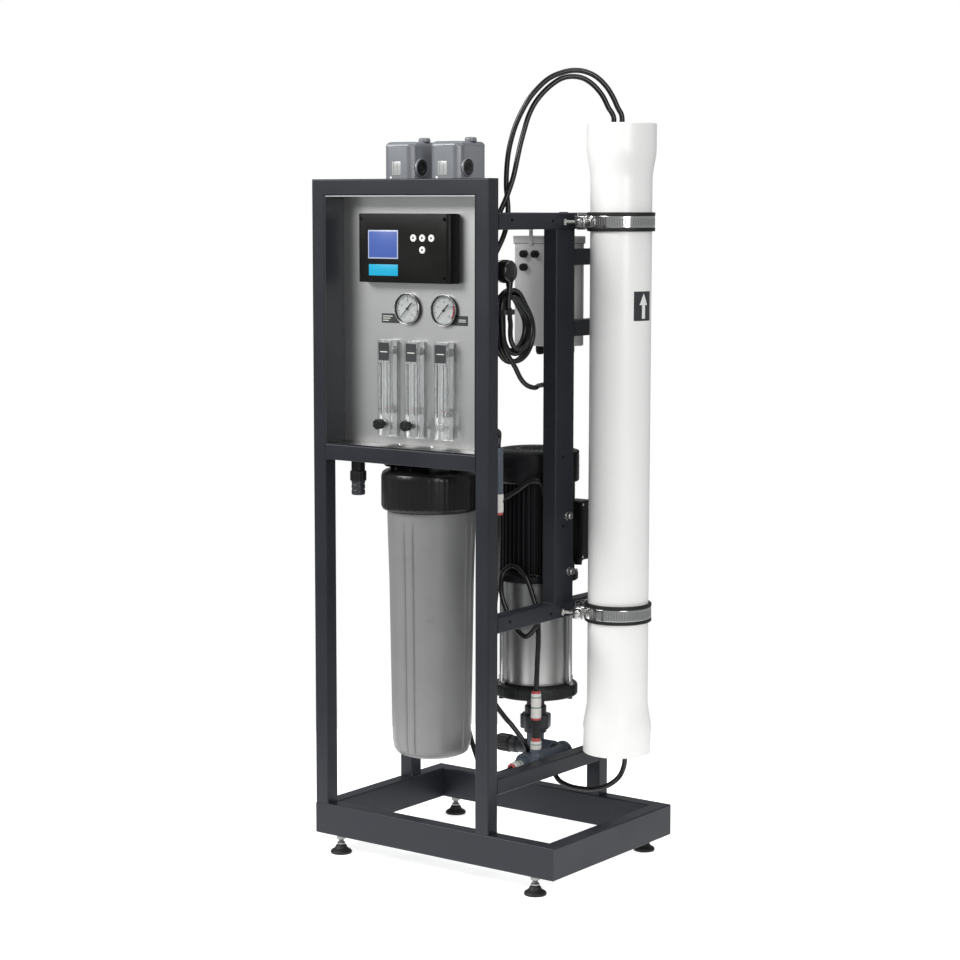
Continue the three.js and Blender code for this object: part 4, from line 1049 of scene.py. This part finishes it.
p = Piece("sump_bowl")
RIBS = [math.radians(c + s) for c in (5.5, 95.5, 185.5, 275.5) for s in (-6.3, 6.3)]
def ribbed(a, r, z):
    if r < 60 or not 174 < z < 617:
        return r
    best = min(abs((a - b + math.pi) % (2 * math.pi) - math.pi) for b in RIBS) * r
    rise = max(0.0, 1 - (best / 1.9) ** 2)
    fade = min(1.0, (z - 174) / 12) * min(1.0, (617 - z) / 8)
    return r + 2.6 * rise * fade
zs = [198 + k * (500 - 198) / 6 for k in range(1, 7)]
prof = [(0, 168.5), (20, 167.4), (40, 166.1), (52, 166.2)]
prof += rounded([(52, 166.2), (66, 171), (72, 180), (74.5, 198)], 8, 6)[1:]
prof += [(74.5 + 5 * (z - 198) / 302, z) for z in zs] + [(80.7, 540), (82.1, 586), (82.9, 612), (83, 618), (83, 631.8), (79.4, 632), (79.4, 697.8), (72.2, 697.8), (70, 500), (66, 196), (58, 174.4), (0, 174.2)]
p.put(lathe(prof, 600, ribbed), SUMP, base)
z = 640
while z < 694:
    p.put(lathe([(79.2, z), (80.3, z + 1.5), (79.2, z + 3)], 72), SUMP, base)
    z += 6
# key boss with hexagon at the bottom
p.put(prism(polygon(6, 21), 166.05, 170.5, 0.6), SUMP, base)
p.make("sump", ("filter_sump",), angle=28)
p = Piece("cartridge_element")
def pleats(a, r, z):
    if r < 30 or not 190 < z < 676:
        return r
    return r - 4.2 * (0.5 + 0.5 * math.cos(60 * a)) ** 0.8
p.put(lathe([(15.2, 178.4), (55.6, 178.4), (55.8, 188), (53.6, 191), (53.6, 675), (55.8, 678), (55.6, 689.6), (15.2, 689.6)], 480, pleats, closed=True), PLEAT, base)
p.make("cartridge", ("filter_cartridge",), angle=45)

# ------------------------------------------------------------------ membrane vessel
VX, VY = 489, 304
base = Matrix.Translation((VX, VY, 0))
p = Piece("vessel_tube")
out = [(51.2, 171), (62.6, 171), (64, 172.4), (64, 217)]
for k in range(1, 13):
    t = k / 12
    out.append((64 - 7 * (3 * t * t - 2 * t ** 3), 217 + 56 * t))
out += [(57, z) for z in range(300, 1230, 60)]
for k in range(0, 13):
    t = k / 12
    out.append((57 + 7 * (3 * t * t - 2 * t ** 3), 1245 + 56 * t))
out += [(64, 1345.6), (62.6, 1347), (51.2, 1347), (51.2, 1343), (51.0, 1341), (51.0, 177), (51.2, 175)]
p.put(lathe(out, 128, closed=True), VESSEL, base)
p.make("skid", ("membrane_vessel",))
for name, s, z0 in (("top", 1, 1347), ("bottom", -1, 171)):
    p = Piece("end_cap_" + name)
    m = Matrix.Translation((VX, VY, z0)) if s > 0 else Matrix.Translation((VX, VY, z0)) @ Matrix.Rotation(math.pi, 4, "X")
    p.put(lathe(rounded([(0, -34), (50.3, -34), (50.3, -8), (48.6, -6.2), (30, -6.2), (27, -9), (18, -9), (14, -6.2), (0, -6.2)], 1.0), 72), BLACK, m)
    p.put(lathe([(47.6, -6.6), (50.9, -6.6), (50.9, -3.2), (47.6, -3.2)], 72, closed=True), ZINC, m)
    for k in range(3):
        a = math.radians(50 + 120 * k)
        p.put(prism(polygon(6, 4.8), -6.4, -2.4, 0.5), ZINC, m @ Matrix.Translation((36 * math.cos(a), 36 * math.sin(a), 0)))
    for x in ((0, -18) if s > 0 else (18,)):
        mm = m @ Matrix.Translation((x, 0, 0))
        end = -1.6 if s > 0 else 4.9
        p.put(lathe(rounded([(0, -8), (8, -8), (8, end - 3), (7.4, end - 2.4), (7.4, end - 1.2), (8, end - 0.6), (8, end), (0, end)], 0.3), 32), BLACK, mm)
    p.make("skid", ("end_plug_" + name,))

# flow arrow label, bent to the tube
def bent(points, r, depth=0.25, cols=1):
    """Flat outline [(degrees, z)] as a thin patch that follows the tube."""
    bm = bmesh.new()
    vs = [bm.verts.new((a, z, 0)) for a, z in points]
    bm.faces.new(vs)
    lo, hi = min(a for a, _ in points), max(a for a, _ in points)
    n = max(2, int((hi - lo) / 2))
    for k in range(1, n):
        bmesh.ops.bisect_plane(bm, geom=bm.verts[:] + bm.edges[:] + bm.faces[:], plane_co=(lo + (hi - lo) * k / n, 0, 0), plane_no=(1, 0, 0))
    ext = bmesh.ops.extrude_face_region(bm, geom=bm.faces[:])
    for v in ext["geom"]:
        if isinstance(v, bmesh.types.BMVert):
            v.co.z = -depth
    for v in bm.verts:
        a, z, d = math.radians(v.co.x), v.co.y, r + v.co.z
        v.co = (d * math.cos(a), d * math.sin(a), z)
    bmesh.ops.recalc_face_normals(bm, faces=bm.faces)
    return bm
p = Piece("vessel_flow_label")
p.put(bent([(-31.6, 987), (13, 987), (13, 1041), (-31.6, 1041)], 57.12, 0.3), LABEL, base)
c = -9
p.put(bent([(c - 4.2, 991), (c + 4.2, 991), (c + 4.2, 1016), (c + 10.5, 1016), (c, 1037.5), (c - 10.5, 1016), (c - 4.2, 1016)], 57.2, 0.3), PRINT, base)
p.make("skid", angle=60)

# clamps: steel band between rubber rims, screwed lug, bracket and stud to the frame
for name, zc in (("upper", 1167.5), ("lower", 440)):
    p = Piece("clamp_" + name + "_band")
    m = Matrix.Translation((VX, VY, zc))
    rim = rounded([(57.3, -17.5), (61.8, -17.5), (62.95, -16), (62.95, -11.4), (61.4, -10.4), (61.4, 10.4), (62.95, 11.4), (62.95, 16), (61.8, 17.5), (57.3, 17.5)], 0.7)
    p.put(lathe(rim, 128, closed=True), RUBBER, m)
    p.put(lathe(rounded([(61.2, -10.8), (62.0, -10.6), (62.3, -9.8), (62.3, 9.8), (62.0, 10.6), (61.2, 10.8)], 0.3), 128, closed=True), STEEL, m)
    # the worm's slots, punched round the band
    for k in range(56):
        slot = block(62.15, 62.42, -1.0, 1.0, -6.5, 6.5, 0)
        slot.transform(Matrix.Rotation(math.radians(-128 + k * 4.6), 4, "Z"))
        p.put(slot, PORT, m)
    # screw lugs in front
    for y0, y1 in ((235.8, 240.6), (249.2, 253.8)):
        p.put(block(431.5, 452.5, y0, y1, zc - 10.8, zc + 10.8, 1.6, 3), STEEL)
    p.put(block(430.9, 434.2, 236.5, 256, zc - 10.8, zc + 10.8, 1.2, 3), STEEL)
    p.put(lathe(rounded([(0, -2), (3.1, -2), (3.1, 15), (0, 15)], 0.4), 20), ZINC, at(443, 238, zc, "+y"))
    hexhead(p, 442.5, 236.2, zc, "-y", 9.6, 4.6, True)
    band = catmull([(452, 252, zc), (457, 251.3, zc), (463, 249.5, zc), (470, 246.2, zc)], 5)
    p.put(block(449, 470, 247.8, 250.4, zc - 10.6, zc + 10.6, 0.8, 2), STEEL)
    # bracket on the bar and stud
    p.put(block(410.3, 413.6, 274, 334, zc - 15, zc + 15, 0.8, 2), STEEL)
    for y in (283, 325):
        hexhead(p, 413.4, y, zc, "+x", 9.6, 4.4, True)
    p.put(lathe(rounded([(0, 0), (5.0, 0), (5.0, 17), (0, 17)], 0.5), 24), ZINC, at(413, 304, zc, "+x"))
    p.put(prism(polygon(6, 9.2), 1, 8, 0.8), ZINC, at(413, 304, zc, "+x"))
    p.put(block(421, 431.8, 291, 317, zc - 13.5, zc + 13.5, 1.2, 3), STEEL)
    # threaded stud from the side bar to the lugs
    thread = [(0, 0)]
    t = 0.5
    while t < 26:
        thread += [(2.7, t), (3.1, t + 0.5), (2.7, t + 1.0)]
        t += 1.1
    thread += [(0, t)]
    p.put(lathe(thread, 16), ZINC, toward((409.8, 233, zc), (436, 243, zc)))
    p.put(prism(polygon(6, 6.4), 0, 4.6, 0.5), ZINC, toward((409.8, 233, zc), (436, 243, zc)))
    p.make("skid", ("vessel_clamp_" + name,))

# ------------------------------------------------------------------ pump
PX, PY = 299, 306
base = Matrix.Translation((PX, PY, 0))
p = Piece("motor_shell")
FINS = 44
def fins(a, r, z):
    if r < 73 or not 503 < z < 671:
        return r
    w = (a * FINS / (2 * math.pi)) % 1.0
    k = min(1.0, max(0.0, (0.5 - abs(w - 0.5) - 0.17) / 0.08))
    return r - 8.0 * k
prof = [(9.8, 484.8), (80, 484.8), (81, 486), (81, 496.6), (80, 498), (75, 500), (74, 503)]
prof += [(74, 503.5), (74, 505)] + [(74, 520 + k * 30) for k in range(5)] + [(74, 669), (74, 670.5), (74, 672), (80.5, 674.8), (82, 677)]
prof += [(82, 705), (82, 722)] + [(81.4, 727), (79, 731.5), (74, 734.6), (66, 736), (35, 736), (34, 735), (34, 733.2), (69.6, 733), (70, 680), (45, 676), (45, 500), (9.8, 500)]
p.put(lathe(prof, FINS * 12, fins, closed=True), MOTOR, base)
# air slots in the top and side rim of the fan cover
for k in range(36):
    a = 2 * math.pi * k / 36
    b = block(40, 64, -1.5, 1.5, 735.2, 736.3, 0.3, 1)
    b.transform(Matrix.Rotation(a, 4, "Z"))
    p.put(b, DARKHOLE, base)
p.put(lathe([(81.9, 701), (82.25, 701.4), (82.25, 703.2), (81.9, 703.6)], 96), MOTOR, base)
for k in range(72):
    a = 2 * math.pi * (k + 0.5) / 72
    b = block(79.4, 81.6, -1.6, 1.6, 726.5, 732.0, 0.4, 1)
    b.transform(Matrix.Rotation(a, 4, "Z"))
    p.put(b, DARKHOLE, base)
for k in range(5):
    p.put(lathe([(10 + k * 5, 733.6), (11.4 + k * 5, 733.6), (11.4 + k * 5, 735.2), (10 + k * 5, 735.2)], 48, closed=True), MOTOR, base)
for k in range(6):
    b = block(2, 35, -1.3, 1.3, 732.8, 734.4, 0.4, 1)
    b.transform(Matrix.Rotation(math.pi * k / 3, 4, "Z"))
    p.put(b, MOTOR, base)
# flange bolts
for k in range(4):
    a = math.radians(38 + 90 * k)
    hexhead(p, PX + 76 * math.cos(a), PY + 76 * math.sin(a), 497.8, "+z", 8, 4, False)
# terminal box with its lid and cable glands
p.put(block(360, 403, 306.3, 351.8, 528.3, 639.7, 3.5, 3), MOTOR)
p.put(block(400.6, 401.6, 306, 352.1, 528, 640, 0.3, 1), DARKHOLE)
for y in (312, 346):
    for z in (534, 634):
        p.put(lathe(rounded([(0, -0.3), (2.8, -0.3), (2.6, 0.8), (0, 1)], 0.3), 20), ZINC, at(402.9, y, z, "+x"))
p.put(lathe(rounded([(0, 0), (9, 0), (9, 5), (7.4, 7), (7.4, 13), (0, 13)], 0.7), 28), BLACK, at(381, 329, 528.5, "-z"))
# two feet with brackets to the middle post
for z0, z1 in ((500.3, 520), (608, 630)):
    p.put(block(359.3, 379.5, 244, 296, z0, z1, 2.2, 3), CAST)
p.make("skid", ("pump_motor",), angle=38)
p = Piece("post_bolts")
for y, z in ((250, 620), (256, 514)):
    hexhead(p, 410.0, y, z, "+x", 13.5, 6.4, True, STEEL)
p.make("skid")

p = Piece("pump_stack")
prof = rounded([(0, 281), (64, 281), (64, 484), (61, 484), (61, 290), (0, 290)], 0.6)
p.put(lathe(prof, 128), SLEEVE, base)
for z in (287, 478):
    p.put(lathe([(63.8, z - 1.4), (64.5, z - 1.0), (64.5, z + 1.0), (63.8, z + 1.4)], 128), SLEEVE, base)
def knurl(a, r, z):
    return r - (0.5 * (0.5 + 0.5 * math.cos(40 * a)) ** 3 if r > 80 and 260 < z < 279 else 0)
prof = rounded([(0, 258.2), (77, 258.2), (79.8, 259.6), (81, 262), (81, 277), (79.6, 280), (76, 281.6), (0, 281.6)], 1.2)
p.put(lathe(prof, 480, knurl), CAST, base)
p.put(lathe(rounded([(66.2, 281.5), (66.2, 284.4), (64.1, 285.0), (64.1, 281.5)], 0.3), 96, closed=True), CAST, base)
for d in (10, 60, 190, 240):
    a = math.radians(d)
    m = Matrix.Translation((PX + 72.5 * math.cos(a), PY + 72.5 * math.sin(a), 0))
    p.put(lathe(rounded([(0, 276), (3.9, 276), (3.9, 484), (0, 484)], 0.4), 24), STEEL, m)
    p.put(prism(polygon(6, 7.2), 281.4, 288, 0.6), ZINC, m)
    p.put(lathe(rounded([(0, 254.6), (5, 254.6), (5, 258.4), (0, 258.4)], 0.5), 20), CAST, m)
p.make("skid", ("pump_body",), angle=34)

# ------------------------------------------------------------------ electrical box
p = Piece("electrical_enclosure")
shell = block(254.2, 370.8, 290.2, 361.8, 932.2, 1139.8, 7, 5, edges=lambda d, m: abs(d.z) > 0.9)
bmesh.ops.bevel(shell, geom=[e for e in shell.edges if len(e.link_faces) == 2 and e.link_faces[0].normal.angle(e.link_faces[1].normal) > 1.2], offset=2.0, segments=3, profile=0.5, affect="EDGES", clamp_overlap=True)
p.put(shell, BOX_GREY_GLOW)
p.put(block(254.0, 371.0, 348.5, 349.4, 932.0, 1140, 0.2, 1), UNION)
p.put(block(253.2, 371.8, 289.4, 362.0, 1126.2, 1139.9, 2.2, 3), BOX_GREY_GLOW)
p.put(block(253.9, 371.1, 290.0, 361.9, 1125.2, 1126.2, 0.2, 1), UNION)
for x in (262, 363):
    for z in (942, 1116):
        p.put(lathe(rounded([(0, -0.3), (3.6, -0.3), (3.4, 0.8), (0, 1)], 0.3), 24), BOX_GREY_GLOW, at(x, 290.2, z, "-y"))
for x, z in ((281, 1106), (307, 1106), (281, 1081)):
    m = at(x, 290.4, z, "-y")
    p.put(prism(polygon(6, 8.0), 0, 3.4, 0.5), BLACK, m)
    p.put(lathe(rounded([(0, 3.2), (7.4, 3.2), (7.0, 9.4), (5.6, 10.2), (0, 10.2)], 0.8), 32), BLACK, m)
for x, y in ((292, 326), (352, 340)):
    m = at(x, y, 932.4, "-z")
    p.put(prism(polygon(6, 9.0), 0, 5, 0.7), BLACK, m)
    p.put(lathe(rounded([(0, 4.8), (8.6, 4.8), (8.2, 12), (6.4, 17), (5.2, 18.2), (0, 18.2)], 0.9), 32), BLACK, m)
p.make("skid", ("electrical_box",))
p = Piece("electrical_box_brackets")
p.put(block(292, 300, 288, 290.1, 1122, 1154, 0.5, 2), BOX_GREY_GLOW)
p.put(block(292, 300, 277, 290.1, 1151.8, 1153.9, 0.5, 2), BOX_GREY_GLOW)
p.put(block(371.1, 379.8, 330, 352, 965, 977, 0.6, 2), ZINC)
p.put(block(371.1, 379.8, 330, 352, 1097, 1109, 0.6, 2), ZINC)
p.make("skid")

# ------------------------------------------------------------------ pump pipework and its fittings
p = Piece("suction_pipework")
m = Matrix.Translation((PX, PY, 0))
p.put(lathe(rounded([(0, 150), (17, 150), (17, 189), (16.4, 190), (0, 190)], 0.6), 48), PVC, m)
nut = prism(lobed(8, 27.2, 30, 96, 2), 190.5, 218.6, 2.4, 3)
p.put(nut, UNION, m)
p.put(lathe(rounded([(0, 218), (22.6, 218), (21, 222.4), (21, 233.6), (19, 235.4), (17.2, 237), (17.2, 257.9), (0, 257.9)], 0.8), 48), UNION, m)
p.put(lathe(rounded([(0, 182.6), (22, 182.6), (22, 190.7), (0, 190.7)], 1.0), 48), UNION, m)
p.put(lathe(rounded([(0, -2), (20, -2), (20, 44), (0, 46)], 1.2), 48), PVC, at(299, 306, 150, "+x"))
# tee body along the depth with socket collars
p.put(lathe(rounded([(0, 0), (21, 0), (21, 13), (19, 15), (19, 60), (19, 88), (19, 120), (21, 122), (21, 135), (0, 136)], 1.2), 56), PVC, at(340, 210, 142, "+y"))
p.put(lathe(rounded([(0, 0), (19.5, 0), (19.5, 6), (0, 8)], 1.5), 40), PVC, at(340, 238, 153, "+z"))
p.put(lathe(rounded([(0, -1), (14, -1), (14, 17), (0, 17)], 1.0), 40), PVC, at(340, 197, 142, "+y"))
p.put(prism(polygon(6, 13.6), 9, 17, 0.9), UNION, at(340, 197, 142, "+y"))
# front push fitting: white body, green ring, red collet
m = at(340, 199, 142, "-y")
p.put(lathe(rounded([(0, 0), (10.4, 0), (10.4, 8), (0, 8)], 0.7), 40), WHITE, m)
p.put(lathe(rounded([(0, 7.6), (11.2, 7.6), (11.2, 12.6), (0, 12.6)], 0.6), 40), GREEN, m)
p.put(lathe(rounded([(0, 12.2), (10.4, 12.2), (10.4, 24), (9, 26), (0, 26)], 0.9), 40), WHITE, m)
p.put(lathe(rounded([(5.0, 25.4), (7.6, 25.4), (8.9, 28.6), (8.9, 30.6), (5.0, 30.6)], 0.7), 36, closed=True), RED, m)
# left branch with its compression collar
m = at(345, 302, 152, "-x")
p.put(lathe(rounded([(0, 0), (14, 0), (14, 133), (0, 133)], 0.8), 40), UNION, m)
def collar(a, r, z):
    return r - (1.6 * (0.5 + 0.5 * math.cos(12 * a)) ** 2 if r > 16 else 0)
p.put(lathe(rounded([(0, 98), (15.4, 98), (17.4, 101), (17.4, 126), (16.2, 130), (0, 130)], 0.8), 192, collar), BLACK, m)
p.put(lathe(rounded([(0, 84), (16.2, 84), (16.2, 97), (0, 97)], 0.8), 40), UNION, m)
# upright boss with two white fittings and a check valve between
m = Matrix.Translation((358, 224, 0))
p.put(lathe(rounded([(0, 148), (13.6, 148), (13.6, 160), (10.6, 163), (10.6, 172), (0, 172)], 1.0), 40), PVC, m)
p.put(lathe(rounded([(0, 171), (9.6, 171), (10.4, 173), (10.4, 186), (9.6, 187.5), (0, 187.5)], 0.7), 40), WHITE, m)
p.put(lathe(rounded([(0, 180.4), (10.7, 180.4), (10.7, 182.6), (0, 182.6)], 0.3), 40), GREEN, m)
p.put(lathe(rounded([(0, 187), (8.8, 187), (8.8, 192), (8, 194), (0, 194)], 0.6), 36), RED, m)
def valve(a, r, z):
    return r - (0.8 * (0.5 + 0.5 * math.cos(10 * a)) if r > 7 else 0)
p.put(lathe(rounded([(0, 193.5), (8.4, 193.5), (9.0, 196), (9.0, 226), (8.0, 229), (0, 229)], 0.7), 160, valve), BLACK, m)
p.put(lathe(rounded([(0, 228.4), (8.8, 228.4), (9.0, 231), (8.4, 233), (0, 233)], 0.6), 36), RED, m)
p.put(lathe(rounded([(0, 232.4), (9.6, 232.4), (9.8, 235), (9.8, 250), (9.1, 251.5), (0, 251.5)], 0.7), 40), WHITE, m)
p.put(lathe(rounded([(0, 251), (9.4, 251), (9.4, 254), (0, 254)], 0.5), 40), GREEN, m)
p.put(lathe(rounded([(0, 253.4), (9.2, 253.4), (9.8, 256), (9.8, 270), (9.3, 271), (0, 271)], 0.7), 40), WHITE, m)
p.put(lathe(rounded([(0, 270.6), (9.6, 270.6), (9.6, 273.4), (0, 273.4)], 0.5), 40), GREEN, m)
p.put(lathe(rounded([(0, 273), (9.4, 273), (9.7, 275), (9.4, 279.4), (0, 279.4)], 0.7), 40), WHITE, m)
p.put(lathe(rounded([(0, 279), (8.6, 279), (8.9, 281.4), (8.4, 284), (0, 284)], 0.7), 40), RED, m)
# riser behind the right front post
m = Matrix.Translation((395, 50, 0))
p.put(lathe(rounded([(0, 642), (8.4, 642), (8.9, 644), (8.6, 647), (0, 647)], 0.6), 36), RED, m)
p.put(lathe(rounded([(0, 646.6), (9.3, 646.6), (9.7, 649), (9.7, 663), (8.8, 665), (8.8, 668), (9.7, 670), (9.7, 680), (0, 680)], 0.7), 40), WHITE, m)
p.put(lathe(rounded([(0, 676), (9.1, 676), (9.1, 746), (8.3, 748), (8.3, 764), (0, 764)], 0.7), 40), PVC, m)
p.put(prism(polygon(6, 10.2), 748, 758, 0.7), PVC, m)
hoses = [
    [[340, 172, 141], [334, 158, 137], [318, 150, 131], [296, 151, 129], [270, 165, 136], [249, 182, 149], [227, 198, 168], [204, 212, 205], [193, 216, 260], [190, 216, 400], [190, 216, 560], [190, 216, 660], [190, 216, 704.6]],
    [[358, 224, 270], [360, 224, 330], [362, 225, 390], [359, 225, 430], [349, 224, 466], [330, 223, 504], [304, 222, 519], [282, 221, 502], [279, 220, 465], [294, 219, 428], [316, 217, 399], [340, 213, 388], [359, 213, 402], [369, 226, 440], [372, 233, 500], [372, 234, 600], [371, 232, 654], [363, 227, 682], [346, 221, 682], [318, 212, 662], [293, 200, 647], [275, 192, 652], [266, 187, 676], [263, 184, 702], [259, 168, 738], [256, 140, 786], [254, 110, 850], [254, 94, 930], [254, 84, 985], [262, 74, 1003], [272, 66, 1006], [274, 58, 1006]],
    [[330, 246, 150], [323, 236, 176], [305, 228, 203], [288, 216, 228], [280, 192, 262], [288, 162, 310], [312, 132, 370], [345, 104, 440], [374, 76, 520], [391, 56, 590], [395, 50, 630], [395, 50, 650]],
    [[395, 50, 758], [395, 50, 772], [393.5, 54, 784], [386, 62, 791], [368, 66, 793], [330, 68, 793], [300, 71, 794], [284, 74, 799], [278.5, 76, 809], [278, 74.5, 818], [278, 68, 821], [278, 58, 821]],
    [[342, 304, 138], [344, 304, 112], [356, 304, 95], [378, 304, 87.5], [403, 304, 86], [438, 304, 89.5], [472, 304, 103], [496, 304, 124], [505.5, 304, 145], [507, 304, 156], [507, 304, 165.4]],
]
for route in hoses:
    p.put(sweep(catmull(route, 8), 4.8, 20), HOSE)
p.make("skid", ("pump_pipework",), angle=40)
# cable ties round hoses, with their heads
p = Piece("cable_ties")
def tie(a, b, r=6.0, turn=0.0):
    m = toward(a, b)
    p.put(lathe([(r - 0.9, -1.3), (r + 0.1, -1.3), (r + 0.1, 1.3), (r - 0.9, 1.3)], 32, closed=True), BLACK, m)
    head = block(r - 0.6, r + 3.4, -2.2, 2.2, -1.9, 1.9, 0.5, 2)
    head.transform(Matrix.Rotation(math.radians(turn), 4, "Z"))
    p.put(head, BLACK, m)
tie((372, 233.2, 520), (372, 234, 600), 6.0, 40)
tie((190, 216, 430), (190, 216, 470), 6.0, 200)
tie((190, 216, 600), (190, 216, 640), 6.0, 200)
p.make("skid")
# nozzle seals where the two arcing hoses meet the tray's rear ports are the rotameter nuts

# ------------------------------------------------------------------ inner moving parts that are seldom seen
NODES["pump_rotor"].data.materials.clear()
NODES["pump_rotor"].data.materials.append(ZINC)
NODES["membrane_element"].data.materials.clear()
NODES["membrane_element"].data.materials.append(VESSEL)
